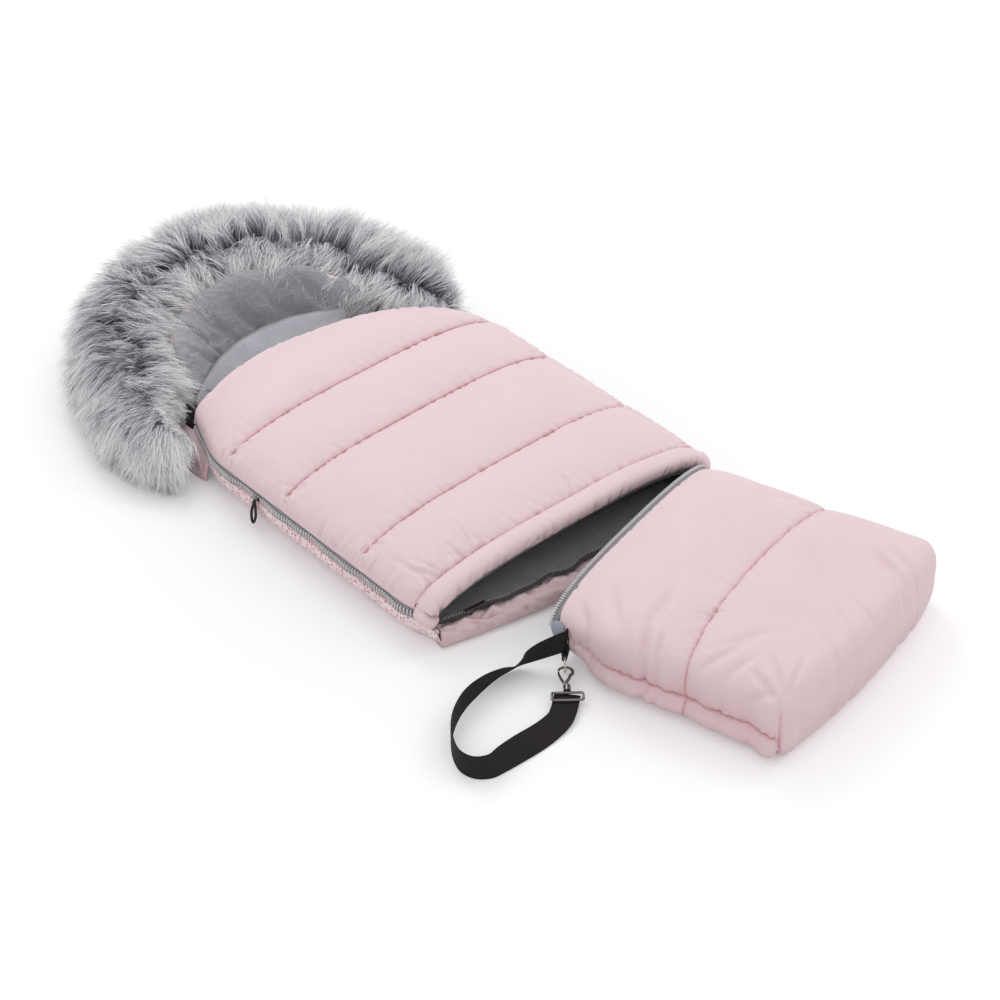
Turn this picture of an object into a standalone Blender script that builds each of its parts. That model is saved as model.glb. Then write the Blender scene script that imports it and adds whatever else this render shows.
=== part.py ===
"""Two-part stroller footmuff with a zip-off foot bag, a fur-trimmed hood and a carry strap.

Run with: blender --background --python part.py
Units are metres, +Z is up and +Y points to the head end.
The origin is the centre of the flat underside of the back panel.
"""
import math

import bmesh
import bpy
from mathutils import Matrix, Vector

# Overall sizes of the muff body
BASE_LENGTH = 0.560
BASE_WIDTH = 0.436
PAD_THICKNESS = 0.016
PAD_UNDERCUT = 0.0024
LINING_THICKNESS = 0.003
CLEARANCE = 0.0003

# Side walls and their zips
ZIP_HEIGHT = 0.041
SIDE_BULGE = 0.013
BAND_THICKNESS = 0.007
TAPE_THICKNESS = 0.0012
TAPE_WIDTH = 0.009
CHAIN_THICKNESS = 0.0030
CHAIN_WIDTH = 0.0026
CHAIN_GAP = 0.0012
ZIP_HEAD_MARGIN = 0.052
ZIP_FOOT_MARGIN = 0.012

# Quilted cover
COVER_SET_BACK = 0.066
COVER_RISE = 0.037
QUILT_SEAM_THICKNESS = 0.0045
QUILT_EDGE_THICKNESS = 0.003
QUILT_PUFF = 0.016
COVER_TOP_BOW = 0.035
COVER_TOP_SKEW = 0.014
SEAM_SKEW = 0.0175
FOLD_CLEARANCE = 0.0006
FOLD_LIFT = 0.012

# Rolled rim over the feet and the lip under them
RIM_DEPTH = 0.030
RIM_HEIGHT = 0.024
RIM_SETBACK = 0.016
LIP_BULGE = 0.018
LIP_DEPTH = 0.020
LIP_HEIGHT = 0.026
LIP_END_REACH = 0.006
MOUTH_TAPE_HEIGHT = 0.008
MOUTH_CHAIN_THICKNESS = 0.0035

# Foot bag
BAG_OPEN_ANGLE = math.radians(16.5)
BAG_MOUTH_WIDTH = 0.352
BAG_WIDTH = 0.350
BAG_LENGTH = 0.338
BAG_THICKNESS = 0.104
BAG_MOUTH_HEIGHT = 0.066
BAG_WALL = 0.009
BAG_LINING_THICKNESS = 0.0018
LINING_CLEARANCE = 0.0018
BAG_SIDE_SET_IN = 0.030
BAG_SEAM_VALLEY = 0.008
BAG_LIP_RECESS = 0.040
BAG_HINGE_SET_IN = 0.0036
BAG_MOUTH_GAP = 0.004
ZIP_BOX_RADIUS = 0.0029
ZIP_BOX_HEIGHT = 0.014
REST_FLAT = 0.0005

# Hood and its fur trim
HOOD_DEPTH = 0.155
HOOD_HALF_WIDTH = 0.165
HOOD_SHELL_THICKNESS = 0.008
HOOD_LINING_THICKNESS = 0.006
HOOD_RIM_RISE = 0.066
FOLD_DEPTH = 0.006
FUR_WIDTH = 0.136
FUR_HEIGHT = 0.100
NEAR_FUR_END = (0.078, 0.076, 0.0020)
FAR_FUR_END = (0.060, 0.038, 0.0020)
HOOD_FAR_PULL = 0.036
HOOD_RIM_OVERLAP = 0.0010
FUR_FAR_SLIMMING = 0.026
HOOD_FLAT_SHARE = 0.55
HOOD_TIP_SHARE = 0.004
FUR_START_SHARE = 0.035
FUR_TAPER_SHARE = 0.10

# Snap hook, ring and strap
STRAP_WIDTH = 0.030
STRAP_THICKNESS = 0.0018
RING_RADIUS = 0.0084
RING_WIRE = 0.0012
HOOK_EYE_RADIUS = 0.0066
HOOK_WIRE = 0.0017
HOOK_SHANK = 0.018
BARREL_RADIUS = 0.0042
BARREL_LENGTH = 0.0095
LOOP_WIRE = 0.0015
LOOP_DEPTH = 0.0125
GATE_THICKNESS = 0.0022
SWIVEL_RADIUS = 0.0017
SWIVEL_CLEARANCE = 0.0005
HOOK_HEADING = math.radians(232.0)
TAB_HEIGHT = 0.0045
TAB_CLEARANCE = 0.0004
ANCHOR_SET_BACK = 0.0068
TAB_SEAT_HEIGHT = 0.020
TAB_SET_BACK = 0.0022
STRAP_END_OVERRUN = 0.0004
STRAP_BASE_HEIGHT = 2 * (RING_RADIUS + RING_WIRE) + CLEARANCE * 2

# Sliders and pullers
SLIDER_LENGTH = 0.011
SLIDER_WIDTH = 0.0056
SLIDER_PLATE = 0.0012
SLIDER_PLAY = 0.0005
SLIDER_REST = 0.330
PULL_WIRE = 0.0012
CORD_RADIUS = 0.0014
PULL_LOOP_LENGTH = 0.031
PULL_LOOP_WIDTH = 0.009

# The cover's cross seams, as shares of its length from the feet
CHANNEL_SHARES = (0.3097, 0.6134, 0.8441)

COVER_LENGTH = BASE_LENGTH - COVER_SET_BACK
HEAD_Y = BASE_LENGTH / 2
MOUTH_Y = -BASE_LENGTH / 2
HALF_BASE = BASE_WIDTH / 2
HINGE_X = HALF_BASE - BAG_HINGE_SET_IN
HINGE_Y = MOUTH_Y + RIM_SETBACK - BAG_MOUTH_GAP

# Half width of the back panel, as shares, from the feet to the head
BASE_EDGE_SHARES = ((0.0, 0.94), (0.10, 1.0), (0.72, 1.0), (1.0, 0.81))


def clear_scene():
    for item in list(bpy.data.objects):
        bpy.data.objects.remove(item, do_unlink=True)


def smooth_share(table, t):
    """Value at t on a smooth line through (place, value) pairs."""
    if t <= table[0][0]:
        return table[0][1]
    for (t0, v0), (t1, v1) in zip(table, table[1:]):
        if t <= t1:
            s = (t - t0) / (t1 - t0)
            return v0 + (v1 - v0) * s * s * (3 - 2 * s)
    return table[-1][1]


def material(name, colour, roughness, metallic=0.0):
    made = bpy.data.materials.new(name)
    made.use_nodes = True
    shader = made.node_tree.nodes["Principled BSDF"]
    shader.inputs["Base Color"].default_value = (*colour, 1.0)
    shader.inputs["Roughness"].default_value = roughness
    shader.inputs["Metallic"].default_value = metallic
    return made


def add_object(name, mesh, finish):
    mesh.materials.append(finish)
    item = bpy.data.objects.new(name, mesh)
    bpy.context.scene.collection.objects.link(item)
    return item


def place_origin(item, point):
    """Move an object's origin to a point on its joint's axis, with the shape left in place."""
    item.data.transform(Matrix.Translation(-Vector(point)))
    item.location = point
    return item


def mesh_from_bmesh(name, bm):
    bmesh.ops.recalc_face_normals(bm, faces=bm.faces)
    mesh = bpy.data.meshes.new(name)
    bm.to_mesh(mesh)
    bm.free()
    mesh.shade_smooth()
    mesh.set_sharp_from_angle(angle=math.radians(40))
    return mesh


def grid_solid(name, finish, top, bottom, columns, rows):
    """A closed pad between two surfaces, each a function of two shares from 0 to 1."""
    bm = bmesh.new()
    layers = []
    for surface in (top, bottom):
        layer = []
        for j in range(rows + 1):
            layer.append([bm.verts.new(surface(i / columns, j / rows)) for i in range(columns + 1)])
        layers.append(layer)
    upper, lower = layers
    for j in range(rows):
        for i in range(columns):
            for layer in layers:
                bm.faces.new((layer[j][i], layer[j][i + 1], layer[j + 1][i + 1], layer[j + 1][i]))
    for i in range(columns):
        for j in (0, rows):
            bm.faces.new((upper[j][i], lower[j][i], lower[j][i + 1], upper[j][i + 1]))
    for j in range(rows):
        for i in (0, columns):
            bm.faces.new((upper[j][i], upper[j + 1][i], lower[j + 1][i], lower[j][i]))
    return add_object(name, mesh_from_bmesh(name, bm), finish)


def ring_solid(name, finish, rings, closed=False):
    """A closed body through equal rings of points, capped at both ends unless it is closed."""
    bm = bmesh.new()
    loops = [[bm.verts.new(point) for point in ring] for ring in rings]
    pairs = list(zip(loops, loops[1:]))
    if closed:
        pairs.append((loops[-1], loops[0]))
    for low, high in pairs:
        count = len(low)
        for k in range(count):
            bm.faces.new((low[k], low[(k + 1) % count], high[(k + 1) % count], high[k]))
    if not closed:
        bm.faces.new(loops[0])
        bm.faces.new(loops[-1])
    return add_object(name, mesh_from_bmesh(name, bm), finish)


def swept_solid(name, finish, centres, section, up=Vector((0, 0, 1)), closed=False):
    """Sweep section(share), a list of (side, up) offsets, along a list of points."""
    rings = []
    last = len(centres) - 1
    for n, centre in enumerate(centres):
        before = centres[n - 1] if (n or closed) else centres[n]
        after = centres[(n + 1) % len(centres)] if (n < last or closed) else centres[n]
        ahead = (after - before).normalized()
        side = ahead.cross(up).normalized()
        rise = side.cross(ahead).normalized()
        rings.append([centre + side * a + rise * b for a, b in section(n / last)])
    return ring_solid(name, finish, rings, closed)


def oval(width, height, count, power=2.0):
    """Points of a rounded outline, boxier as power grows."""
    points = []
    for k in range(count):
        angle = 2 * math.pi * k / count
        c, s = math.cos(angle), math.sin(angle)
        a = math.copysign(abs(c) ** (2 / power), c) * width / 2
        b = math.copysign(abs(s) ** (2 / power), s) * height / 2
        points.append((a, b))
    return points


def box_section(width, height):
    return [(-width / 2, -height / 2), (width / 2, -height / 2),
            (width / 2, height / 2), (-width / 2, height / 2)]


def wire(name, finish, points, radius, closed=False, resolution=2):
    """A round wire or cord as a bevelled curve through the points."""
    curve = bpy.data.curves.new(name, "CURVE")
    curve.dimensions = "3D"
    curve.bevel_depth = radius
    curve.bevel_resolution = resolution
    curve.use_fill_caps = True
    spline = curve.splines.new("POLY")
    spline.points.add(len(points) - 1)
    for target, point in zip(spline.points, points):
        target.co = (*point, 1.0)
    spline.use_cyclic_u = closed
    curve.materials.append(finish)
    item = bpy.data.objects.new(name, curve)
    bpy.context.scene.collection.objects.link(item)
    return item


def box_mesh_object(name, finish, centre, size, rotation=None):
    bm = bmesh.new()
    bmesh.ops.create_cube(bm, size=1.0)
    turn = rotation or Matrix.Identity(4)
    scale = Matrix.Diagonal((*size, 1.0))
    bmesh.ops.transform(bm, matrix=Matrix.Translation(centre) @ turn @ scale, verts=bm.verts)
    return add_object(name, mesh_from_bmesh(name, bm), finish)


def join_by_union(item, tool):
    """Fuse tool into item, and keep tool only as a hidden guide."""
    tool.hide_render = True
    tool.display_type = "WIRE"
    union = item.modifiers.new("Union", "BOOLEAN")
    union.operation = "UNION"
    union.solver = "EXACT"
    union.object = tool
    return item


def cut_away(item, tool):
    tool.hide_render = True
    tool.display_type = "WIRE"
    cut = item.modifiers.new("Cut", "BOOLEAN")
    cut.operation = "DIFFERENCE"
    cut.solver = "EXACT"
    cut.object = tool
    return item


# Outlines that several pieces share

def base_half_width(y):
    return HALF_BASE * smooth_share(BASE_EDGE_SHARES, (y - MOUTH_Y) / BASE_LENGTH)


def zip_half_width(y):
    return base_half_width(y) + SIDE_BULGE


def zip_height(y):
    """The side zip runs level, and drops to its end stop over the last stretch at the feet."""
    drop = max(0.0, 1 - (y - MOUTH_Y - ZIP_FOOT_MARGIN) / (RIM_DEPTH + RIM_SETBACK))
    return ZIP_HEIGHT - (ZIP_HEIGHT - LIP_HEIGHT) * drop ** 2 * 0.4


def arch(u):
    """Height share of the cover across its width, for u from -1 to 1."""
    return max(0.0, 1 - abs(u) ** 3) ** 0.5


def seam_y(distance, u):
    skew = SEAM_SKEW * (0.5 if distance == RIM_SETBACK + RIM_DEPTH else 1.0)
    return MOUTH_Y + distance + skew * u


def top_edge_y(u):
    return MOUTH_Y + COVER_LENGTH + COVER_TOP_BOW * (1 - u * u) - COVER_TOP_SKEW * u


def cover_seam_height(u, y):
    return zip_height(y) + TAPE_WIDTH / 2 + COVER_RISE * arch(u)


def build_base(shell, mesh_band, fleece):
    def footprint(i, j, inset):
        foot = lip_line_y(2 * i - 1) + LIP_DEPTH / 2 - CLEARANCE + inset
        y = foot + (HEAD_Y - inset - foot) * j
        half = base_half_width(y) - inset - BAND_THICKNESS
        return (2 * i - 1) * half, y

    def pad_top(i, j):
        x, y = footprint(i, j, 0.0)
        return Vector((x, y, PAD_THICKNESS))

    def pad_bottom(i, j):
        x, y = footprint(i, j, PAD_UNDERCUT)
        return Vector((x, y, 0.0))

    grid_solid("base_shell", shell, pad_top, pad_bottom, 12, 15)

    def lining_top(i, j):
        x, y = footprint(i, j, CLEARANCE)
        dip = 1 - (2 * i - 1) ** 4
        rise = LINING_THICKNESS * (0.6 + 0.4 * dip)
        return Vector((x, y, PAD_THICKNESS + CLEARANCE + rise))

    def lining_bottom(i, j):
        x, y = footprint(i, j, CLEARANCE)
        return Vector((x, y, PAD_THICKNESS + CLEARANCE))

    grid_solid("base_lining", fleece, lining_top, lining_bottom, 12, 15)

    for side, label in ((-1, "near"), (1, "far")):
        build_side_band(label, side, mesh_band)


def build_side_band(label, side, finish):
    """The bellied wall between the back panel and the side zip."""
    foot = MOUTH_Y + LIP_DEPTH - CLEARANCE
    length = HEAD_Y - foot
    stations = 26
    rings = []
    for n in range(stations + 1):
        y = foot + length * n / stations
        low = base_half_width(y) - BAND_THICKNESS + CLEARANCE
        high = zip_half_width(y)
        head = max(0.0, (y - (HEAD_Y - ZIP_HEAD_MARGIN)) / ZIP_HEAD_MARGIN)
        top = zip_height(y) - TAPE_WIDTH / 2 - CLEARANCE - head * (ZIP_HEIGHT - PAD_THICKNESS) * 0.45
        outline = []
        for share in (0.0, 0.35, 0.7, 1.0):
            belly = math.sin(math.pi * min(share, 0.9)) * SIDE_BULGE * 0.45
            outline.append((low + BAND_THICKNESS + (high - low - BAND_THICKNESS) * share + belly,
                            top * share))
        for share in (1.0, 0.7, 0.35, 0.0):
            belly = math.sin(math.pi * min(share, 0.9)) * SIDE_BULGE * 0.45
            wall = BAND_THICKNESS * (1 - 0.55 * share)
            outline.append((low + BAND_THICKNESS + (high - low - BAND_THICKNESS) * share + belly - wall,
                            top * share))
        rings.append([Vector((side * a, y, b)) for a, b in outline])
    ring_solid(label + "_side_band", finish, rings)


def quilt_top(u, y, low_seam, high_seam):
    """Outer surface of the cover: an arch with a padded channel between two stitch lines."""
    span = high_seam(u) - low_seam(u)
    t = min(1.0, max(0.0, (y - low_seam(u)) / span))
    puff = (4 * t * (1 - t)) ** 0.6
    side = (1 - abs(u) ** 4) ** 0.7
    return cover_seam_height(u, y) + QUILT_PUFF * puff * side


def build_cover_panel(name, finish, seams, columns, rows_each):
    """A quilted panel whose channels lie between neighbouring stitch lines."""
    rows = rows_each * (len(seams) - 1)

    def place(i, j):
        u = 2 * i - 1
        channel = min(int(j * (len(seams) - 1)), len(seams) - 2)
        t = j * (len(seams) - 1) - channel
        low = seams[channel]
        high = seams[channel + 1]
        y = low(u) + (high(u) - low(u)) * t
        if channel == 0:
            y += FOLD_CLEARANCE / 2 * (1 - t)
        if channel == len(seams) - 2:
            y -= FOLD_CLEARANCE / 2 * t
        return u, y, low, high

    def top(i, j):
        u, y, low, high = place(i, j)
        z = quilt_top(u, y, low, high) + QUILT_EDGE_THICKNESS / 2
        return Vector((u * zip_half_width(y), y, z))

    def bottom(i, j):
        u, y, _, _ = place(i, j)
        thick = QUILT_EDGE_THICKNESS / 2 + (QUILT_SEAM_THICKNESS - QUILT_EDGE_THICKNESS) * arch(u)
        return Vector((u * (zip_half_width(y) - QUILT_EDGE_THICKNESS), y, cover_seam_height(u, y) - thick))

    return grid_solid(name, finish, top, bottom, columns, rows)


def build_cover_lining(name, finish, low_seam, high_seam, columns, rows):
    def surface(i, j, drop):
        u = (2 * i - 1) * 0.93
        low = low_seam(u) + FOLD_CLEARANCE
        high = high_seam(u) - FOLD_CLEARANCE
        y = low + (high - low) * j
        reach = zip_half_width(y) - QUILT_EDGE_THICKNESS
        z = cover_seam_height(u, y) - QUILT_SEAM_THICKNESS - CLEARANCE - drop
        return Vector((u * reach, y, z))

    def top(i, j):
        return surface(i, j, 0.0)

    def bottom(i, j):
        return surface(i, j, LINING_THICKNESS)

    return grid_solid(name, finish, top, bottom, columns, rows)


def rim_seam(u):
    return seam_y(RIM_SETBACK + RIM_DEPTH, u)


def fold_seam(u):
    return seam_y(COVER_LENGTH * CHANNEL_SHARES[0], u)


def middle_seam(u):
    return seam_y(COVER_LENGTH * CHANNEL_SHARES[1], u)


def head_seam(u):
    return seam_y(COVER_LENGTH * CHANNEL_SHARES[2], u)


def fold_line():
    """A point on the cover's fold line and the line's direction."""
    ends = []
    for u in (-1, 1):
        y = fold_seam(u)
        ends.append(Vector((u * zip_half_width(y), y, 0.0)))
    centre = (ends[0] + ends[1]) / 2
    centre.z = cover_seam_height(0, centre.y) + FOLD_LIFT
    return centre, (ends[1] - ends[0]).normalized()


def build_cover(shell, fleece):
    foot = build_cover_panel("cover_foot_panel", shell, [rim_seam, fold_seam], 22, 8)
    seams = [fold_seam, middle_seam, head_seam, top_edge_y]
    main = build_cover_panel("cover_main_panel", shell, seams, 22, 8)
    lining = build_cover_lining("cover_foot_lining", fleece, rim_seam, fold_seam, 12, 3)
    main_lining = build_cover_lining("cover_main_lining", fleece, fold_seam, top_edge_y, 12, 12)
    pivot, _ = fold_line()
    place_origin(main, pivot)
    place_origin(main_lining, pivot)
    return foot, lining


def rim_centre(u):
    y = MOUTH_Y + RIM_SETBACK + RIM_DEPTH / 2 + CLEARANCE + SEAM_SKEW / 2 * u
    z = cover_seam_height(u, y) - RIM_HEIGHT * 0.20
    return Vector((u * (zip_half_width(y) - RIM_HEIGHT * 0.04), y, z))


def build_rim(shell):
    """The padded roll over the feet, thinner where it meets the zip ends."""
    stations = 26
    centres = [rim_centre(math.sin(math.pi / 2 * (2 * n / stations - 1)) * 0.985)
               for n in range(stations + 1)]

    def section(share):
        full = 0.55 + 0.45 * (1 - abs(2 * share - 1) ** 4)
        return oval(RIM_DEPTH - 2 * CLEARANCE, RIM_HEIGHT * full, 12, 2.8)

    swept_solid("mouth_rim", shell, centres, section)


def lip_line_y(u):
    return MOUTH_Y + LIP_DEPTH / 2 - LIP_BULGE * max(0.0, 1 - u * u)


def lip_centre(share):
    """The lip's line from the near corner to the far one, bowed out over the feet."""
    u = 2 * share - 1
    half = base_half_width(MOUTH_Y) + LIP_END_REACH
    return Vector((u * half, lip_line_y(u), LIP_HEIGHT / 2))


def build_lip(shell):
    stations = 26
    centres = [lip_centre(n / stations) for n in range(stations + 1)]

    def section(share):
        full = 0.98 + 0.02 * (1 - abs(2 * share - 1) ** 4)
        return [(a * full, max(b, -LIP_HEIGHT / 2 + REST_FLAT)) for a, b in
                oval(LIP_DEPTH - 2 * CLEARANCE, LIP_HEIGHT, 12, 2.6)]

    lip = swept_solid("mouth_lip", shell, centres, section)
    lip.data.transform(Matrix.Translation((0, 0, -REST_FLAT)))


def zip_point(side, y, height):
    return Vector((side * zip_half_width(y), y, zip_height(y) + height))


def tape_section(direction):
    """A woven tape standing on edge, with its row of teeth along the meeting edge."""
    wide = TAPE_WIDTH / 2 - CLEARANCE
    thin = TAPE_THICKNESS / 2
    bead = CHAIN_THICKNESS / 2
    edge = CHAIN_GAP / 2
    inner = edge + CHAIN_WIDTH / 2
    shape = [(-thin, wide), (thin, wide), (thin, inner), (bead, inner),
             (bead, edge), (-bead, edge), (-bead, inner), (-thin, inner)]
    return [(a, b * direction) for a, b in shape]


def build_tape(name, finish, side, start, end, direction, stations):
    centres = [zip_point(side, start + (end - start) * n / stations, 0.0) for n in range(stations + 1)]
    shape = tape_section(direction)
    return swept_solid(name, finish, centres, lambda share: shape)


def build_side_zips(tape, metal, cord):
    foot = MOUTH_Y + ZIP_FOOT_MARGIN
    head = HEAD_Y - ZIP_HEAD_MARGIN
    pivot, _ = fold_line()
    for side, label in ((-1, "near"), (1, "far")):
        fold = fold_seam(side)
        build_tape(label + "_zip_base_tape", tape, side, foot, head, -1, 30)
        build_tape(label + "_zip_foot_tape", tape, side, foot + RIM_SETBACK, fold - FOLD_CLEARANCE, 1, 8)
        upper = build_tape(label + "_zip_cover_tape", tape, side, fold + FOLD_CLEARANCE, head, 1, 22)
        place_origin(upper, pivot)
        build_end_stop(label, side, head, metal)
        build_side_slider(label, side, metal, cord)


def build_end_stop(label, side, head, finish):
    """The bent metal stop just past the chain's head end, on the base tape."""
    gap = CLEARANCE * 2
    centre = zip_point(side, head + gap + CHAIN_THICKNESS / 2, 0.0)
    size = (CHAIN_THICKNESS, CHAIN_THICKNESS, CHAIN_WIDTH + CHAIN_GAP)
    box_mesh_object(label + "_zip_top_stop", finish, centre, size)


def slider_y():
    return MOUTH_Y + SLIDER_REST


def build_side_slider(label, side, metal, cord):
    """Two plates either side of the chain, joined by a thin web between its rows, and a cord puller."""
    y = slider_y()
    x = side * zip_half_width(y)
    inner = CHAIN_THICKNESS / 2 + SLIDER_PLAY
    outer = inner + SLIDER_PLATE
    low = -SLIDER_WIDTH / 2
    web = (CHAIN_GAP - 2 * CLEARANCE) / 2
    bm = bmesh.new()
    outline = [(-outer, low), (-inner, low), (-inner, -web), (inner, -web), (inner, low), (outer, low),
               (outer, -low), (inner, -low), (inner, web), (-inner, web), (-inner, -low), (-outer, -low)]
    rings = []
    for end in (-1, 1):
        centre = Vector((x, y + end * SLIDER_LENGTH / 2, zip_height(y)))
        rings.append([bm.verts.new(centre + Vector((a, 0, b))) for a, b in outline])
    count = len(outline)
    for k in range(count):
        bm.faces.new((rings[0][k], rings[0][(k + 1) % count], rings[1][(k + 1) % count], rings[1][k]))
    bm.faces.new(rings[0])
    bm.faces.new(rings[1])
    name = label + "_zip_slider"
    slider = add_object(name, mesh_from_bmesh(name, bm), metal)
    place_origin(slider, (x, y, zip_height(y)))
    # The puller's bail stands on the outer plate
    bail_x = x + side * (outer + CLEARANCE + CORD_RADIUS)
    top = Vector((bail_x, y, zip_height(y) - CORD_RADIUS))
    points = []
    for k in range(20):
        angle = 2 * math.pi * k / 20
        along = math.sin(angle) * PULL_LOOP_WIDTH / 2
        down = (1 - math.cos(angle)) * PULL_LOOP_LENGTH / 2
        narrow = 0.35 + 0.65 * min(1.0, down / (PULL_LOOP_LENGTH * 0.5))
        lean = side * down * 0.12
        points.append(top + Vector((lean, along * narrow, -down)))
    puller = wire(label + "_zip_puller", cord, [p - top for p in points], CORD_RADIUS, closed=True)
    puller.location = top
    return slider


def build_mouth_zip(tape, metal, teeth):
    """Tape and teeth round the foot mouth: along the lip, then back under the rim."""
    stations = 24
    low_centres = []
    for n in range(stations + 1):
        share = 0.02 + 0.96 * n / stations
        point = lip_centre(share)
        low_centres.append(Vector((point.x, point.y + LIP_DEPTH * 0.12,
                                   LIP_HEIGHT + CLEARANCE + MOUTH_CHAIN_THICKNESS / 2)))

    def low_section(share):
        return box_section(MOUTH_TAPE_HEIGHT, MOUTH_CHAIN_THICKNESS)

    swept_solid("mouth_zip_lip_half", teeth, low_centres, low_section)
    high_centres = []
    for n in range(stations + 1):
        u = math.sin(math.pi / 2 * (2 * n / stations - 1)) * 0.95
        point = rim_centre(u)
        drop = RIM_HEIGHT / 2 - CLEARANCE + MOUTH_TAPE_HEIGHT / 2
        high_centres.append(Vector((point.x * 0.975, point.y - RIM_DEPTH * 0.14, point.z - drop)))

    def high_section(share):
        return box_section(MOUTH_CHAIN_THICKNESS, MOUTH_TAPE_HEIGHT * 0.8)

    swept_solid("mouth_zip_rim_half", tape, high_centres, high_section)
    start = low_centres[2]
    body = box_mesh_object("mouth_zip_slider", metal,
                           start + Vector((0, 0, MOUTH_CHAIN_THICKNESS / 2 + CLEARANCE + SLIDER_PLATE)),
                           (SLIDER_LENGTH, SLIDER_WIDTH, 2 * SLIDER_PLATE))
    place_origin(body, tuple(start))
    hinge = start + Vector((SLIDER_LENGTH / 2 + PULL_WIRE / 2 + CLEARANCE, 0,
                            MOUTH_CHAIN_THICKNESS / 2 + CLEARANCE + SLIDER_PLATE))
    size = (PULL_LOOP_LENGTH * 0.6, PULL_LOOP_WIDTH * 0.6, PULL_WIRE)
    pull = box_mesh_object("mouth_zip_pull", metal, hinge + Vector((size[0] / 2, 0, 0)), size)
    place_origin(pull, tuple(hinge))


# Foot bag, drawn closed against the muff, then swung open about the far corner

def bag_to_world():
    return Matrix.Translation((HINGE_X, HINGE_Y, 0)) @ Matrix.Rotation(BAG_OPEN_ANGLE, 4, "Z")


def bag_outline(t):
    """Half width, centre, height and boxiness of the bag at share t of its length."""
    mouth = BAG_MOUTH_WIDTH / 2
    full = BAG_WIDTH / 2
    ease = min(1.0, t / 0.3)
    ease = ease * ease * (3 - 2 * ease)
    half = mouth + (full - mouth) * ease
    centre = -mouth + (-(BAG_SIDE_SET_IN + full) + mouth) * ease
    grow = min(1.0, t / 0.22)
    height = BAG_MOUTH_HEIGHT + (BAG_THICKNESS - BAG_MOUTH_HEIGHT) * math.sin(math.pi / 2 * grow)
    valley = math.exp(-((t - 0.56) / 0.045) ** 2) * BAG_SEAM_VALLEY
    height -= valley
    power = 2.1 + 1.5 * min(1.0, t / 0.5)
    close = max(0.0, (t - 0.88) / 0.12)
    half -= BAG_THICKNESS * 0.10 * close ** 3
    height *= 1 - 0.34 * close ** 4
    lift = BAG_THICKNESS * 0.05 * close ** 4
    return half, centre, height, power, lift


def bag_ring(t, inset, count):
    half, centre, height, power, lift = bag_outline(t)
    points = []
    mouth_share = max(0.0, 1 - t / 0.22)
    for a, b in oval(2 * (half - inset), height - 2 * inset, count, power):
        z = lift + height / 2 + b
        z = max(z - REST_FLAT, inset)
        under = max(0.0, -b / (height / 2))
        side = abs(a / half)
        recess = BAG_LIP_RECESS * mouth_share * under ** 0.5 * (1 - 0.35 * side ** 3)
        y = -BAG_MOUTH_GAP - recess - (BAG_LENGTH - 2 * BAG_MOUTH_GAP) * t
        points.append(Vector((centre + a, y, z)))
    return points


def bag_stations(start, end, count):
    """Shares of the bag's length, closer together near the mouth and the far end."""
    return [start + (end - start) * (0.5 - 0.5 * math.cos(math.pi * n / count)) for n in range(count + 1)]


def hollow_bag(name, finish, outer_inset, wall, mouth_start, count, steps):
    rings = []
    end_outer = 1.0 - outer_inset / BAG_LENGTH
    end_inner = 1.0 - (outer_inset + wall) / BAG_LENGTH
    shares = [t for t in bag_stations(0.0, 1.0, steps) if t >= mouth_start]
    for t in reversed(shares):
        rings.append(bag_ring(t * end_outer, outer_inset, count))
    for t in shares:
        rings.append(bag_ring(t * end_inner, outer_inset + wall, count))
    item = ring_solid(name, finish, rings)
    item.matrix_world = bag_to_world()
    return item


def build_bag(shell, fleece, tape, tab):
    hollow_bag("foot_bag_shell", shell, 0.0, BAG_WALL, 0.0, 30, 15)
    hollow_bag("foot_bag_lining", fleece, BAG_WALL + LINING_CLEARANCE, BAG_LINING_THICKNESS, 0.04, 30, 15)
    # Zip half round the bag's mouth, from the near corner over the top to the far one
    half, centre, height, power, _ = bag_outline(0.0)
    stations = 30
    centres = []
    for n in range(stations + 1):
        angle = math.pi * (0.985 - 0.97 * n / stations)
        a = math.copysign(abs(math.cos(angle)) ** (2 / power), math.cos(angle)) * (half - BAG_WALL / 2)
        b = math.sin(angle) ** (2 / power) * (height / 2 - BAG_WALL / 2)
        centres.append(Vector((centre + a, -BAG_MOUTH_GAP / 2 + CLEARANCE, height / 2 + b)))

    def section(share):
        return box_section(BAG_MOUTH_GAP - 2 * CLEARANCE, MOUTH_CHAIN_THICKNESS)

    zip_half = swept_solid("foot_bag_zip_half", tape, centres, section, up=Vector((0, 1, 0.001)))
    zip_half.matrix_world = bag_to_world()
    # The zip's retaining box at the far corner, which the bag turns about
    cylinder_along("corner_zip_box", tab, Vector((HINGE_X, HINGE_Y, ZIP_HEIGHT - ZIP_BOX_HEIGHT)),
                   Vector((HINGE_X, HINGE_Y, ZIP_HEIGHT)), ZIP_BOX_RADIUS, 12)
    end = bag_to_world() @ Vector((-BAG_MOUTH_WIDTH - TAPE_WIDTH * 0.32, -TAPE_WIDTH * 0.7 - BAG_MOUTH_GAP,
                                   BAG_MOUTH_HEIGHT * 0.5))
    turn = Matrix.Rotation(BAG_OPEN_ANGLE, 4, "Z")
    size = (TAPE_THICKNESS, TAPE_WIDTH * 2, TAPE_WIDTH * 2.4)
    box_mesh_object("zip_end_tab", tab, end, size, turn)


# Hood

def hood_place(i, j):
    """Plan position on the half-oval hood, and its distance out to the rim as a share."""
    u = 2 * i - 1
    v = j
    width = max(HOOD_TIP_SHARE, 1 - v * v) ** 0.5
    out = min(1.0, (u * u * (1 - v * v) + v * v) ** 0.5)
    x = u * HOOD_HALF_WIDTH * width - HOOD_FAR_PULL * max(0.0, u * width) ** 1.5
    return x, HEAD_Y + CLEARANCE + HOOD_DEPTH * v, out, u, v


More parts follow.
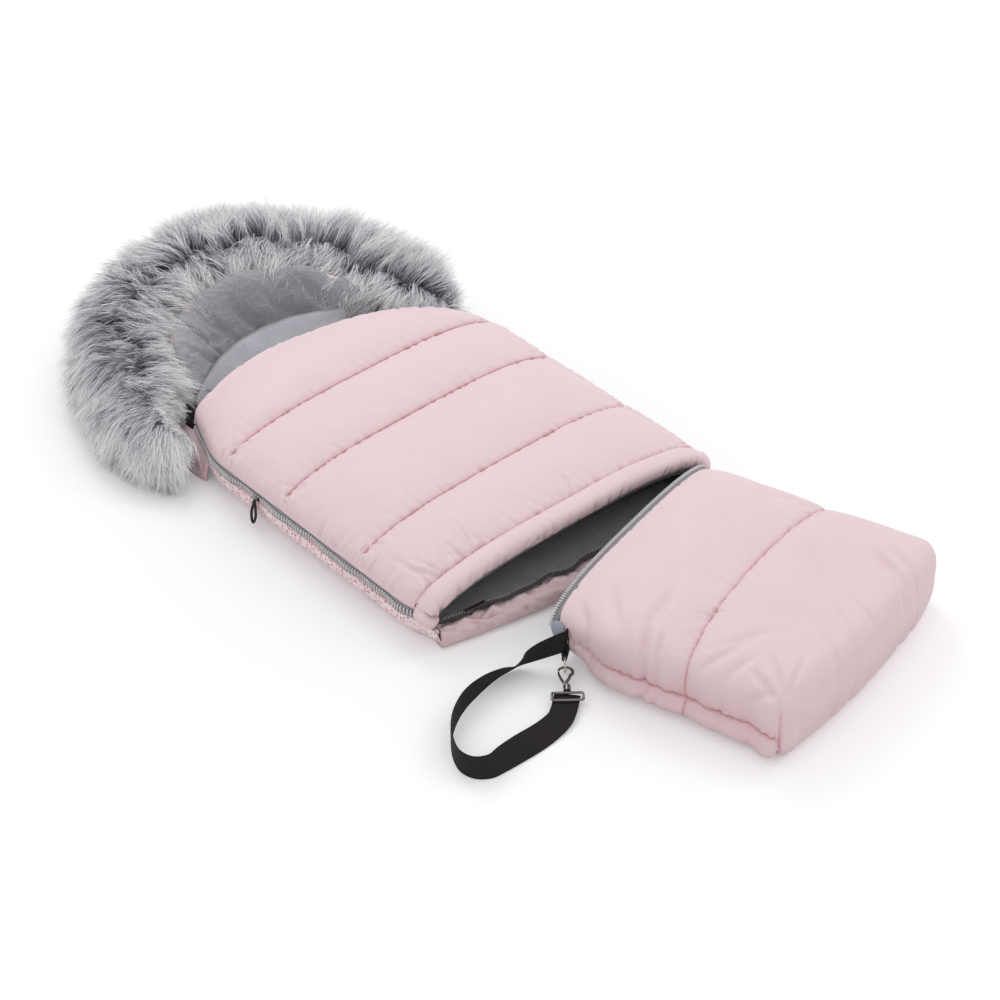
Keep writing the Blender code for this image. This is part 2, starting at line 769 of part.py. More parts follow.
def hood_floor(out, v):
    """Height of the hood's underside: flat on the floor, drawn up towards the gathered rim."""
    t = max(0.0, (out - HOOD_FLAT_SHARE) / (1 - HOOD_FLAT_SHARE))
    neck = 0.55 + 0.45 * min(1.0, v / 0.35)
    return HOOD_RIM_RISE * neck * t * t * (3 - 2 * t)


def build_hood(shell, fleece, fur):
    def layer(extra):
        def surface(i, j):
            x, y, out, u, v = hood_place(i, j)
            folds = 0.5 + 0.5 * math.sin(9 * u + 4 * v)
            fade = math.sin(math.pi * min(1.0, out)) if extra > HOOD_SHELL_THICKNESS + HOOD_LINING_THICKNESS \
                else 0.0
            return Vector((x, y, hood_floor(out, v) + extra + FOLD_DEPTH * folds * fade * min(1.0, 4 * v)))
        return surface

    lining_base = HOOD_SHELL_THICKNESS + LINING_CLEARANCE
    lining_face = lining_base + HOOD_LINING_THICKNESS
    pivot = (0, HEAD_Y, ZIP_HEIGHT)
    for item in (grid_solid("hood_shell", shell, layer(HOOD_SHELL_THICKNESS), layer(0.0), 16, 11),
                 grid_solid("hood_lining", fleece, layer(lining_face), layer(lining_base), 16, 11)):
        place_origin(item, pivot)
    build_fur(fur, pivot)


def fur_centre(angle):
    """Centre line of the fur trim, an arc round the hood's rim."""
    across = -math.cos(angle)
    pull = HOOD_FAR_PULL + FUR_FAR_SLIMMING / 2
    x = (HOOD_HALF_WIDTH - HOOD_RIM_OVERLAP + FUR_WIDTH / 2) * across - pull * max(0.0, across) ** 1.5
    y = HEAD_Y + (HOOD_DEPTH - HOOD_RIM_OVERLAP + FUR_WIDTH / 2) * math.sin(angle)
    return Vector((x, y, FUR_HEIGHT / 2))


def fur_section(width, height, power, count):
    """A fluffy roll lying flat on the floor."""
    return [(a, max(b, -height / 2 + REST_FLAT) - REST_FLAT) for a, b in oval(width, height, count, power)]


def build_fur(fur, pivot):
    stations = 26
    span = 1 - 2 * FUR_START_SHARE
    centres = [fur_centre(math.pi * (FUR_START_SHARE + span * n / stations)) for n in range(stations + 1)]

    def section(share):
        taper = min(1.0, min(share, 1 - share) / FUR_TAPER_SHARE)
        full = 0.45 + 0.55 * math.sin(math.pi / 2 * taper)
        sink = FUR_HEIGHT * (1 - full) / 2
        width = FUR_WIDTH - FUR_FAR_SLIMMING * max(0.0, 2 * share - 1) ** 1.5
        return [(a, b - sink) for a, b in fur_section(width * full, FUR_HEIGHT * full, 2.3, 14)]

    place_origin(swept_solid("fur_trim", fur, centres, section), pivot)
    build_fur_end("near_fur_end", fur, -1, NEAR_FUR_END)
    build_fur_end("far_fur_end", fur, 1, FAR_FUR_END)


def build_fur_end(name, fur, side, sizes):
    """The tuft beside the cover's head corner, which stays down when the hood lifts."""
    reach, width, stand_off = sizes
    steps = 8
    line = []
    for n in range(steps + 1):
        y = HEAD_Y - CLEARANCE - reach * n / steps
        x = zip_half_width(y) + width / 2 + stand_off
        line.append(Vector((side * x, y, FUR_HEIGHT / 2)))

    def section(share):
        full = 0.60 + 0.36 * math.sin(math.pi * min(1.0, 0.12 + share * 0.75)) ** 0.8
        sink = FUR_HEIGHT * (1 - full) / 2
        return [(a, b - sink) for a, b in fur_section(width * full, FUR_HEIGHT * full, 2.3, 12)]

    swept_solid(name, fur, line, section)


# Snap hook, ring and strap, laid out along the hook's own axis from the bag's near corner

def hook_base():
    """The ring's wire inside its tab, which is also where the strap loop turns."""
    corner = bag_to_world() @ Vector((-BAG_MOUTH_WIDTH, -BAG_LIP_RECESS * 0.55, 0))
    away = Vector((math.cos(HOOK_HEADING - 0.5), math.sin(HOOK_HEADING - 0.5), 0))
    point = corner + away * (TAPE_WIDTH * 1.1)
    point.z = RING_RADIUS + RING_WIRE
    return point


def hook_point(along, across, up=0.0):
    base = hook_base()
    ahead = Vector((math.cos(HOOK_HEADING), math.sin(HOOK_HEADING), 0))
    side = Vector((-ahead.y, ahead.x, 0))
    return base + ahead * along + side * across + Vector((0, 0, up))


def arc_points(centre, radius, start, end, count):
    return [(centre[0] + radius * math.cos(start + (end - start) * n / count),
             centre[1] + radius * math.sin(start + (end - start) * n / count)) for n in range(count + 1)]


def round_section(radius, count=8):
    return [(radius * math.cos(2 * math.pi * k / count), radius * math.sin(2 * math.pi * k / count))
            for k in range(count)]


def cylinder_along(name, finish, start, end, radius, count=16):
    axis = (end - start).normalized()
    side = axis.cross(Vector((0.02, 0, 1)) if abs(axis.z) < 0.9 else Vector((1, 0, 0))).normalized()
    rise = side.cross(axis)
    rings = []
    for point in (start, end):
        rings.append([point + side * a + rise * b for a, b in round_section(radius, count)])
    return ring_solid(name, finish, rings)


def build_hook(metal, light_metal):
    # The ring stands on edge, in the plane of the hook's axis
    points = []
    for k in range(20):
        angle = 2 * math.pi * k / 20
        points.append(hook_point(RING_RADIUS * (1 - math.cos(angle)), 0, RING_RADIUS * math.sin(angle)))
    wire("strap_ring", light_metal, points, RING_WIRE, closed=True)
    # Hook: shank, then the bow round the ring's wire
    eye_centre = 2 * RING_RADIUS + HOOK_EYE_RADIUS - RING_WIRE - CLEARANCE
    barrel_top = eye_centre + HOOK_EYE_RADIUS + HOOK_SHANK
    line = [(barrel_top + BARREL_LENGTH * 0.3, 0.0), (barrel_top - HOOK_SHANK * 0.35, 0.0),
            (barrel_top - HOOK_SHANK * 0.75, HOOK_EYE_RADIUS * 0.55)]
    line += arc_points((eye_centre, 0), HOOK_EYE_RADIUS + HOOK_WIRE,
                       math.radians(35), math.radians(250), 14)
    centres = [hook_point(a, b) for a, b in line]

    def bow_section(share):
        return round_section(HOOK_WIRE * (1.15 - 0.35 * share), 10)

    body = swept_solid("hook_body", metal, centres, bow_section)
    barrel = cylinder_along("hook_barrel_form", metal, hook_point(barrel_top, 0),
                            hook_point(barrel_top + BARREL_LENGTH, 0), BARREL_RADIUS, 20)
    join_by_union(body, barrel)
    bore = cylinder_along("hook_bore_form", metal, hook_point(barrel_top + BARREL_LENGTH * 0.55, 0),
                          hook_point(barrel_top + BARREL_LENGTH * 1.5, 0), SWIVEL_RADIUS + SWIVEL_CLEARANCE, 16)
    cut_away(body, bore)
    return barrel_top, eye_centre


def build_gate(metal, barrel_top, eye_centre):
    """The sprung thumb lever that closes the hook's mouth."""
    tip = (eye_centre + (HOOK_EYE_RADIUS + HOOK_WIRE) * math.cos(math.radians(262)) + HOOK_WIRE,
           (HOOK_EYE_RADIUS + HOOK_WIRE) * math.sin(math.radians(262)))
    root = (barrel_top - HOOK_SHANK * 0.35, -HOOK_WIRE * 1.15 - GATE_THICKNESS / 2 - CLEARANCE)
    centres = [hook_point(root[0] + (tip[0] - root[0]) * n / 6,
                          root[1] + (tip[1] - root[1]) * n / 6
                          - GATE_THICKNESS * 0.4 * math.sin(math.pi * n / 6))
               for n in range(7)]

    def section(share):
        return box_section(GATE_THICKNESS * (1 - 0.25 * share), GATE_THICKNESS * (1.5 - 0.4 * share))

    gate = swept_solid("hook_gate", metal, centres, section)
    place_origin(gate, tuple(hook_point(*root)))


def build_strap_loop(metal, barrel_top):
    """The rectangular eye that holds the webbing, on its swivel post."""
    near = barrel_top + BARREL_LENGTH + LOOP_WIRE + CLEARANCE * 2
    far = near + LOOP_DEPTH
    half = STRAP_WIDTH / 2 + LOOP_WIRE + CLEARANCE * 4
    corner = LOOP_WIRE * 1.6
    outline = []
    for a, b, start in ((far - corner, half - corner, 0), (near + corner, half - corner, 90),
                        (near + corner, -half + corner, 180), (far - corner, -half + corner, 270)):
        outline += arc_points((a, b), corner, math.radians(start), math.radians(start + 90), 3)
    centres = [hook_point(a, b) for a, b in outline]
    shape = round_section(LOOP_WIRE, 8)
    loop = swept_solid("strap_loop", metal, centres, lambda share: shape, closed=True)
    post = cylinder_along("swivel_post_form", metal, hook_point(barrel_top + BARREL_LENGTH * 0.7, 0),
                          hook_point(near, 0), SWIVEL_RADIUS, 12)
    join_by_union(loop, post)
    return far


# Route of the strap's lower edge on the floor, from the bag's corner round to the loop, with
# the lean of the webbing from upright, in degrees towards the inside of the bend
STRAP_ROUTE = (
    (-0.152, -0.375, 0.010, 12), (-0.168, -0.363, 0.003, 34), (-0.186, -0.360, 0.0, 42),
    (-0.208, -0.363, 0.0, 26), (-0.234, -0.370, 0.0, 10), (-0.260, -0.379, 0.0, 2),
    (-0.285, -0.393, 0.0, 0), (-0.306, -0.411, 0.0, 0), (-0.322, -0.433, 0.0, 0),
    (-0.330, -0.455, 0.0, 0), (-0.326, -0.474, 0.0, 4), (-0.311, -0.486, 0.0, 14),
    (-0.290, -0.488, 0.0, 30), (-0.264, -0.488, 0.0, 46), (-0.238, -0.487, 0.0, 60),
    (-0.213, -0.484, 0.001, 72), (-0.190, -0.478, 0.003, 82), (-0.173, -0.468, 0.005, 88),
)


def catmull(points, t):
    """Smooth value through a list of tuples, t from 0 to the number of spans."""
    spans = len(points) - 1
    k = min(int(t), spans - 1)
    s = t - k
    p0 = points[max(k - 1, 0)]
    p1, p2 = points[k], points[k + 1]
    p3 = points[min(k + 2, spans)]
    return [0.5 * (2 * b + (c - a) * s + (2 * a - 5 * b + 4 * c - d) * s * s
                   + (3 * b - a - 3 * c + d) * s ** 3)
            for a, b, c, d in zip(p0, p1, p2, p3)]


def strap_stations(loop_bar):
    """Centre line and width direction of the webbing, and its length."""
    base = hook_base()
    leave = Vector((STRAP_ROUTE[0][0] - base.x, STRAP_ROUTE[0][1] - base.y))
    leave = leave.normalized() * STRAP_END_OVERRUN
    start = (base.x - leave.x, base.y - leave.y, STRAP_BASE_HEIGHT, 0)
    end_low = loop_bar
    route = [start] + list(STRAP_ROUTE) + [end_low]
    rows = [catmull(route, n / 3) for n in range(3 * (len(route) - 1) + 1)]
    stations = []
    for n, (x, y, z, lean) in enumerate(rows):
        a = rows[max(n - 1, 0)]
        b = rows[min(n + 1, len(rows) - 1)]
        ahead = Vector((b[0] - a[0], b[1] - a[1], 0)).normalized()
        inside = Vector((-ahead.y, ahead.x, 0))
        angle = math.radians(lean)
        across = inside * math.sin(angle) + Vector((0, 0, math.cos(angle)))
        low = Vector((x, y, max(z, 0.0) + STRAP_THICKNESS / 2))
        stations.append((low + across * STRAP_WIDTH / 2, across, ahead))
    return stations


def build_strap(webbing, loop_far):
    bar = loop_far - LOOP_WIRE * 2 - CLEARANCE * 3 - STRAP_THICKNESS / 2
    low = hook_point(bar - STRAP_THICKNESS * 3, STRAP_WIDTH / 2)
    end = (low.x, low.y, low.z - LOOP_WIRE - STRAP_THICKNESS * 1.6, 90)
    stations = strap_stations(end)
    rings = []
    for centre, across, ahead in stations:
        face = across.cross(ahead).normalized()
        half = STRAP_WIDTH / 2
        thin = STRAP_THICKNESS / 2
        rings.append([centre + across * a + face * b for a, b in
                      ((-half, -thin), (half, -thin), (half, thin), (-half, thin))])
    length = sum((b[0] - a[0]).length for a, b in zip(stations, stations[1:]))
    print("strap length", round(length, 4))
    ring_solid("strap_webbing", webbing, rings)


def tab_seat():
    """Where the ring's tab is sewn to the bag's near corner."""
    half, centre, height, power, _ = bag_outline(0.0)
    low = (TAB_SEAT_HEIGHT - height / 2) / (height / 2)
    side = (1 - abs(low) ** power) ** (1 / power)
    recess = BAG_LIP_RECESS * abs(low) ** 0.5 * (1 - 0.35 * side ** 3)
    return bag_to_world() @ Vector((centre - half * side, -BAG_MOUTH_GAP - recess, TAB_SEAT_HEIGHT))


def build_strap_fixings(webbing):
    """The folded tab that holds the ring, and the end of the strap sewn in above it."""
    base = hook_base()
    inward = tab_seat() - base
    end = base + inward * (1 - TAB_SET_BACK / inward.length)
    inward.z = 0
    inward.normalize()
    side = Vector((-inward.y, inward.x, 0))
    bend = RING_WIRE + SWIVEL_CLEARANCE + TAPE_THICKNESS / 2
    leg = TAPE_THICKNESS / 2 + CLEARANCE
    fold = [end + side * leg, base + inward * bend * 1.6 + side * leg]
    for n in range(13):
        angle = math.radians(50 + 260 * n / 12)
        fold.append(base + inward * bend * math.cos(angle) + side * bend * math.sin(angle))
    fold += [base + inward * bend * 1.6 - side * leg, end - side * leg]
    shape = box_section(TAPE_THICKNESS, TAB_HEIGHT)
    swept_solid("ring_tab", webbing, fold, lambda share: shape)
    corner = bag_to_world() @ Vector((-BAG_MOUTH_WIDTH + BAG_WALL * 0.2, -BAG_LIP_RECESS * 0.75, 0))
    inward = Vector((corner.x - base.x, corner.y - base.y, 0))
    reach = inward.length - TAB_CLEARANCE - ANCHOR_SET_BACK
    inward.normalize()
    first = STRAP_THICKNESS / 2 + CLEARANCE + STRAP_END_OVERRUN / 2
    middle = STRAP_BASE_HEIGHT + STRAP_WIDTH / 2 + STRAP_THICKNESS / 2
    stub = []
    for n in range(4):
        point = base + inward * (first + (reach - first) * n / 3)
        stub.append(Vector((point.x, point.y, middle)))
    shape_stub = box_section(STRAP_THICKNESS, STRAP_WIDTH)
    swept_solid("strap_anchor", webbing, stub, lambda share: shape_stub)


def build_label(black):
    """A blank folded tab sewn in at the hood's near corner, with the drawcord's end."""
    y = HEAD_Y - ZIP_HEAD_MARGIN * 0.55
    x = -(zip_half_width(y) + TAPE_THICKNESS)
    low = ZIP_HEIGHT - TAPE_WIDTH * 0.85
    high = ZIP_HEIGHT + TAPE_WIDTH * 2
    centre = Vector((x, y, (low + high) / 2))
    box_mesh_object("corner_label_tab", black, centre, (TAPE_THICKNESS, TAPE_WIDTH * 2.2, high - low))


def main():
    clear_scene()
    pink = material("pink_shell", (0.83, 0.62, 0.66), 0.55)
    pink_mesh = material("pink_mesh", (0.80, 0.50, 0.55), 0.75)
    fleece = material("grey_fleece", (0.22, 0.225, 0.235), 0.95)
    minky = material("grey_minky", (0.30, 0.305, 0.315), 0.95)
    fur = material("faux_fur", (0.38, 0.39, 0.41), 0.9)
    tape = material("zip_grey", (0.33, 0.32, 0.34), 0.6)
    dark_teeth = material("zip_dark", (0.08, 0.08, 0.09), 0.5)
    pale_tab = material("pale_tab", (0.45, 0.46, 0.55), 0.6)
    black = material("black_webbing", (0.02, 0.018, 0.02), 0.8)
    gunmetal = material("gunmetal", (0.25, 0.24, 0.25), 0.3, 1.0)
    nickel = material("light_nickel", (0.70, 0.67, 0.62), 0.25, 1.0)

    build_base(pink, pink_mesh, fleece)
    build_cover(pink, fleece)
    build_rim(pink)
    build_lip(pink)
    build_side_zips(tape, gunmetal, black)
    build_mouth_zip(tape, gunmetal, dark_teeth)
    build_bag(pink, fleece, tape, pale_tab)
    build_hood(pink, minky, fur)
    barrel_top, eye_centre = build_hook(gunmetal, nickel)
    build_gate(gunmetal, barrel_top, eye_centre)
    loop_far = build_strap_loop(gunmetal, barrel_top)
    build_strap(black, loop_far)
    build_strap_fixings(black)
    build_label(black)


main()
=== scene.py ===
# %% [markdown]
# # A stroller footmuff with a fur hood
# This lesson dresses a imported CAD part, so that it looks like the real soft thing: a quilted
# pink footmuff lying open on a white studio floor, with a fur-trimmed hood at the head, a foot
# bag swung open at the feet and a webbing strap clipped to the bag's corner.
# Each step first says what the piece is on a real footmuff, then builds it.

# %% Open the frame
import math

import bmesh
import bpy
import numpy as np
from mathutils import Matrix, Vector, noise


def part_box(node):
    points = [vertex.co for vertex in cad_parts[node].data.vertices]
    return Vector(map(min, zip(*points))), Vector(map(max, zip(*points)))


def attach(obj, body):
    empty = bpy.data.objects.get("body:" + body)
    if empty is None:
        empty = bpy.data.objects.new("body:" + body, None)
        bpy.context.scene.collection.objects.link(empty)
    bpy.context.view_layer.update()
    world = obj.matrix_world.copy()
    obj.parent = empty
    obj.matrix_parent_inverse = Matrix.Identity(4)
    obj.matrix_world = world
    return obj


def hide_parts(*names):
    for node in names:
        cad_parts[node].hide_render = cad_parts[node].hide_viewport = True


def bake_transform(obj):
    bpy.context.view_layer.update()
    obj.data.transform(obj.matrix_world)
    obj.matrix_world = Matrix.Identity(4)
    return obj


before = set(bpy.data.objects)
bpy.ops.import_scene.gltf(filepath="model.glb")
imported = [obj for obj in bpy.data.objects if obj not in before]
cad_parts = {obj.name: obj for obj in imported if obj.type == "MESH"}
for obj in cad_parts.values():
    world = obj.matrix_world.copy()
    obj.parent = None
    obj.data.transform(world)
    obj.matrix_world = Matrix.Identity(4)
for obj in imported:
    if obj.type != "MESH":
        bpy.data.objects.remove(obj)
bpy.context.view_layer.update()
print("frame loaded with", len(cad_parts), "CAD pieces")

# %% Put things into the scene


def add_object(name, data):
    """A new object with this data, linked into the scene."""
    item = bpy.data.objects.new(name, data)
    bpy.context.scene.collection.objects.link(item)
    return item


def turned_to(place, aim):
    """The turn that points a camera or a lamp from place to aim."""
    return (Vector(aim) - Vector(place)).to_track_quat("-Z", "Y").to_euler()


print("scene helpers ready")

# %% [markdown]
# ## Camera
# The product picture looks down on the muff from its foot end and near side with a long lens,
# so its long edges stay almost parallel. The camera stands about three metres away.

# %% Place the camera
CAMERA_PLACE = Vector((-1.6546, -2.0919, 1.8868))
CAMERA_AIM = Vector((0.02604, -0.09958, 0.0))
LENS_LENGTH = 93.6
SENSOR_WIDTH = 36.0

lens = bpy.data.cameras.new("studio_camera")
lens.lens = LENS_LENGTH
lens.sensor_width = SENSOR_WIDTH
camera = add_object("studio_camera", lens)
camera.location = CAMERA_PLACE
camera.rotation_euler = turned_to(CAMERA_PLACE, CAMERA_AIM)
bpy.context.scene.camera = camera
bpy.context.scene.view_settings.view_transform = "Standard"
print("camera at", [round(value, 3) for value in CAMERA_PLACE])

# %% [markdown]
# ## White floor and soft light
# The muff lies on a seamless white sweep. A large soft box behind and above it lights the top
# of every channel, and a weaker sky fills the sides, so the only shadows are the soft ones
# towards the camera. The floor takes the shadow, and a small glow that only the camera sees
# lifts the rest of it to paper white. Round the muff that glow is weaker, which paints a wide
# soft shadow on the floor.

# %% Make the world and the lamps
SKY_LEVEL = 0.80
WHITE = (1.0, 1.0, 1.0, 1.0)
LAMP_AIM = (0.0, -0.1, 0.0)
SOFT_BOXES = (("back_soft_box", (0.7, 1.9, 2.3), 1.5, 19.0), ("far_soft_box", (2.2, -0.9, 1.9), 1.2, 7.0))

sky = bpy.data.worlds.new("studio_sky")
sky.use_nodes = True
sky.node_tree.nodes["Background"].inputs["Color"].default_value = WHITE
sky.node_tree.nodes["Background"].inputs["Strength"].default_value = SKY_LEVEL
bpy.context.scene.world = sky
for box_name, place, box_size, power in SOFT_BOXES:
    lamp = bpy.data.lights.new(box_name, "AREA")
    lamp.shape = "SQUARE"
    lamp.size = box_size
    lamp.energy = power
    hung = add_object(box_name, lamp)
    hung.location = place
    hung.rotation_euler = turned_to(place, LAMP_AIM)
print("studio lit with", len(SOFT_BOXES), "soft boxes")

# %% Sums for shader nodes


def feed(tree, value, socket):
    """Give a socket a number, a colour, or what another socket puts out."""
    if isinstance(value, (int, float)):
        socket.default_value = value
    elif isinstance(value, tuple):
        socket.default_value = (*value, 1.0)
    else:
        tree.links.new(value, socket)


def maths(tree, operation, first, second=0.0):
    """A math node; each operand is a socket or a number."""
    node = tree.nodes.new("ShaderNodeMath")
    node.operation = operation
    feed(tree, first, node.inputs[0])
    feed(tree, second, node.inputs[1])
    return node.outputs[0]


print("node sums ready")

# %% Lay the floor
FLOOR_HALF = 9.0
FLOOR_GLOW = 0.28
FLOOR_COLOUR = (0.86, 0.86, 0.875, 1.0)
# Painted shadow: how far round the muff the camera glow fades, and by how much.
SHADE_REACH = 1.05
SHADE_DEPTH = 0.95


def make_floor_paint():
    """White paint with a glow for the camera, which dies away under the muff as a painted shadow."""
    made = bpy.data.materials.new("floor_white")
    made.use_nodes = True
    tree = made.node_tree
    paint = tree.nodes["Principled BSDF"]
    for label, value in (("Base Color", FLOOR_COLOUR), ("Roughness", 0.9), ("Specular IOR Level", 0.1),
                         ("Emission Color", WHITE)):
        paint.inputs[label].default_value = value
    reach = tree.nodes.new("ShaderNodeMapping")
    reach.inputs["Scale"].default_value = (1 / SHADE_REACH, 1 / SHADE_REACH, 1.0)
    painted_shadow_falloff = tree.nodes.new("ShaderNodeTexGradient")
    painted_shadow_falloff.gradient_type = "QUADRATIC_SPHERE"
    tree.links.new(tree.nodes.new("ShaderNodeTexCoord").outputs["Object"], reach.inputs["Vector"])
    tree.links.new(reach.outputs["Vector"], painted_shadow_falloff.inputs["Vector"])
    glow = maths(tree, "MULTIPLY", tree.nodes.new("ShaderNodeLightPath").outputs["Is Camera Ray"], FLOOR_GLOW)
    # Painted shadow: the glow is turned down near the muff.
    kept = maths(tree, "SUBTRACT", 1.0, maths(tree, "MULTIPLY", painted_shadow_falloff.outputs["Fac"], SHADE_DEPTH))
    tree.links.new(maths(tree, "MULTIPLY", glow, kept), paint.inputs["Emission Strength"])
    return made


floor_mesh = bpy.data.meshes.new("studio_floor")
floor_corners = [(FLOOR_HALF * x, FLOOR_HALF * y, 0) for x, y in ((-1, -1), (1, -1), (1, 1), (-1, 1))]
floor_mesh.from_pydata(floor_corners, [], [(0, 1, 2, 3)])
floor_mesh.materials.append(make_floor_paint())
add_object("studio_floor", floor_mesh)
print("floor laid")

# %% [markdown]
# ## Patterns that several materials share
# Cloth reads as cloth through what its surface does between a tenth of a millimetre and a few
# millimetres: the crepe of a thin nylon, the nap of a fleece, the holes of a spacer mesh, the
# ribs of a woven tape. Each of these is one small node group that puts out a height and a
# shade, so each material only says how strongly it uses them.

# %% Crepe, nap, holes and ribs


def new_pattern(name, sizes):
    """An empty node group with number inputs and the outputs Shade and Height."""
    group = bpy.data.node_groups.new(name, "ShaderNodeTree")
    for label, value in sizes:
        socket = group.interface.new_socket(name=label, in_out="INPUT", socket_type="NodeSocketFloat")
        socket.default_value = value
    for label in ("Shade", "Height"):
        group.interface.new_socket(name=label, in_out="OUTPUT", socket_type="NodeSocketFloat")
    entry = group.nodes.new("NodeGroupInput")
    leave = group.nodes.new("NodeGroupOutput")
    return group, entry, leave


def hand_out(group, leave, shade, height):
    """Join a pattern's shade and height to its outputs."""
    group.links.new(shade, leave.inputs["Shade"])
    group.links.new(height, leave.inputs["Height"])
    return group


def cloudy(tree, place, scale, detail=2.0, roughness=0.5):
    """A noise texture read at place."""
    node = tree.nodes.new("ShaderNodeTexNoise")
    node.inputs["Detail"].default_value = detail
    node.inputs["Roughness"].default_value = roughness
    tree.links.new(scale, node.inputs["Scale"])
    tree.links.new(place, node.inputs["Vector"])
    return node.outputs[0]


def make_crepe():
    """Thin coated nylon: soft broad unevenness with a very fine crepe in it."""
    group, entry, leave = new_pattern("nylon_crepe", (("Broad", 26.0), ("Fine", 420.0)))
    place = group.nodes.new("ShaderNodeTexCoord").outputs["Object"]
    broad = cloudy(group, place, entry.outputs["Broad"], 3.0)
    fine = cloudy(group, place, entry.outputs["Fine"], 1.0)
    return hand_out(group, leave, broad, maths(group, "ADD", broad, maths(group, "MULTIPLY", fine, 0.06)))


def make_nap():
    """Brushed pile: curls about Curl per metre on top of slow strokes of the hand."""
    group, entry, leave = new_pattern("plush_nap", (("Curl", 420.0), ("Stroke", 38.0)))
    place = group.nodes.new("ShaderNodeTexCoord").outputs["Object"]
    curl = cloudy(group, place, entry.outputs["Curl"], 2.0, 0.6)
    stroke = cloudy(group, place, entry.outputs["Stroke"], 2.0)
    shade = maths(group, "ADD", maths(group, "MULTIPLY", curl, 0.6), maths(group, "MULTIPLY", stroke, 0.4))
    return hand_out(group, leave, shade, curl)


def make_holes():
    """Spacer mesh: rows of small holes on the piece's own UV map, which is in metres; the holes are painted
    darker, painted shade inside them.
    """
    group, entry, leave = new_pattern("mesh_holes", (("Per metre", 200.0), ("Hole", 0.33)))
    cells = group.nodes.new("ShaderNodeTexVoronoi")
    cells.inputs["Randomness"].default_value = 0.45
    group.links.new(group.nodes.new("ShaderNodeUVMap").outputs[0], cells.inputs["Vector"])
    group.links.new(entry.outputs["Per metre"], cells.inputs["Scale"])
    hole = maths(group, "LESS_THAN", cells.outputs["Distance"], entry.outputs["Hole"])
    return hand_out(group, leave, hole, maths(group, "SUBTRACT", 1.0, hole))


def make_ribs():
    """Woven tape: ribs across the tape with a finer thread along it, on the UV map in metres."""
    group, entry, leave = new_pattern("tape_ribs", (("Ribs", 620.0), ("Threads", 900.0)))
    split = group.nodes.new("ShaderNodeSeparateXYZ")
    group.links.new(group.nodes.new("ShaderNodeUVMap").outputs[0], split.inputs[0])
    waves = []
    for axis, label in (("Y", "Ribs"), ("X", "Threads")):
        turns = maths(group, "MULTIPLY", entry.outputs[label], 2 * math.pi)
        waves.append(maths(group, "SINE", maths(group, "MULTIPLY", split.outputs[axis], turns)))
    weave = maths(group, "ADD", 0.5, maths(group, "MULTIPLY", maths(group, "MULTIPLY", *waves), 0.5))
    return hand_out(group, leave, weave, weave)


def make_handling():
    """Plated metal that has been handled: slow changes of polish and a few fine marks."""
    group, entry, leave = new_pattern("metal_handling", (("Slow", 90.0), ("Marks", 900.0)))
    place = group.nodes.new("ShaderNodeTexCoord").outputs["Object"]
    slow = cloudy(group, place, entry.outputs["Slow"], 3.0)
    return hand_out(group, leave, slow, cloudy(group, place, entry.outputs["Marks"], 1.0))


PATTERNS = {"crepe": make_crepe(), "nap": make_nap(), "holes": make_holes(), "ribs": make_ribs(),
            "handling": make_handling()}
print("patterns:", ", ".join(PATTERNS))

# %% [markdown]
# ## Materials
# The shell is a pale pink nylon, matt with a slight satin. Seams show a deeper coral: a thin line
# at the thread, and beside it painted shade where the cloth doubles up and shades itself. A vertex
# mark called seam says where; the same mark also paints warm shade on the sides of the pink cloth
# and on pieces that lie in shadow. The linings are grey fleeces, the zips grey tape with plastic
# teeth, the hook gunmetal plate.

# %% Mix cloths and metals


def mixed(tree, share, first, second):
    """A colour between two others; each is a colour or a socket."""
    node = tree.nodes.new("ShaderNodeMix")
    node.data_type = "RGBA"
    tree.links.new(share, node.inputs["Factor"])
    for label, value in (("A", first), ("B", second)):
        feed(tree, value, [s for s in node.inputs if s.name == label and s.type == "RGBA"][0])
    return [s for s in node.outputs if s.type == "RGBA"][0]


def finish(name, colour, shade, roughness, pattern, relief, metallic=0.0, sheen=0.0, specular=0.4,
           seam_and_shade_colour=None, sizes=()):
    """A material: two colours mixed by a pattern, the pattern's relief, and the colour of the seam mark,
    which carries seam lines and painted shade.
    """
    made = bpy.data.materials.new(name)
    made.use_nodes = True
    tree = made.node_tree
    shader = tree.nodes["Principled BSDF"]
    for label, value in (("Roughness", roughness), ("Metallic", metallic), ("Sheen Weight", sheen),
                         ("Specular IOR Level", specular), ("Base Color", (*colour, 1.0))):
        shader.inputs[label].default_value = value
    used = tree.nodes.new("ShaderNodeGroup")
    used.node_tree = PATTERNS[pattern]
    for label, value in sizes:
        used.inputs[label].default_value = value
    bump = tree.nodes.new("ShaderNodeBump")
    bump.inputs["Distance"].default_value = relief
    bump.inputs["Strength"].default_value = 1.0
    tree.links.new(used.outputs["Height"], bump.inputs["Height"])
    tree.links.new(bump.outputs["Normal"], shader.inputs["Normal"])
    current = mixed(tree, used.outputs["Shade"], colour, shade)
    # The seam mark mixes in this colour: seam lines, painted shade beside them and painted shade on pieces in
    # shadow.
    if seam_and_shade_colour:
        read = tree.nodes.new("ShaderNodeAttribute")
        read.attribute_name = "seam"
        current = mixed(tree, read.outputs["Fac"], current, seam_and_shade_colour)
    tree.links.new(current, shader.inputs["Base Color"])
    return made
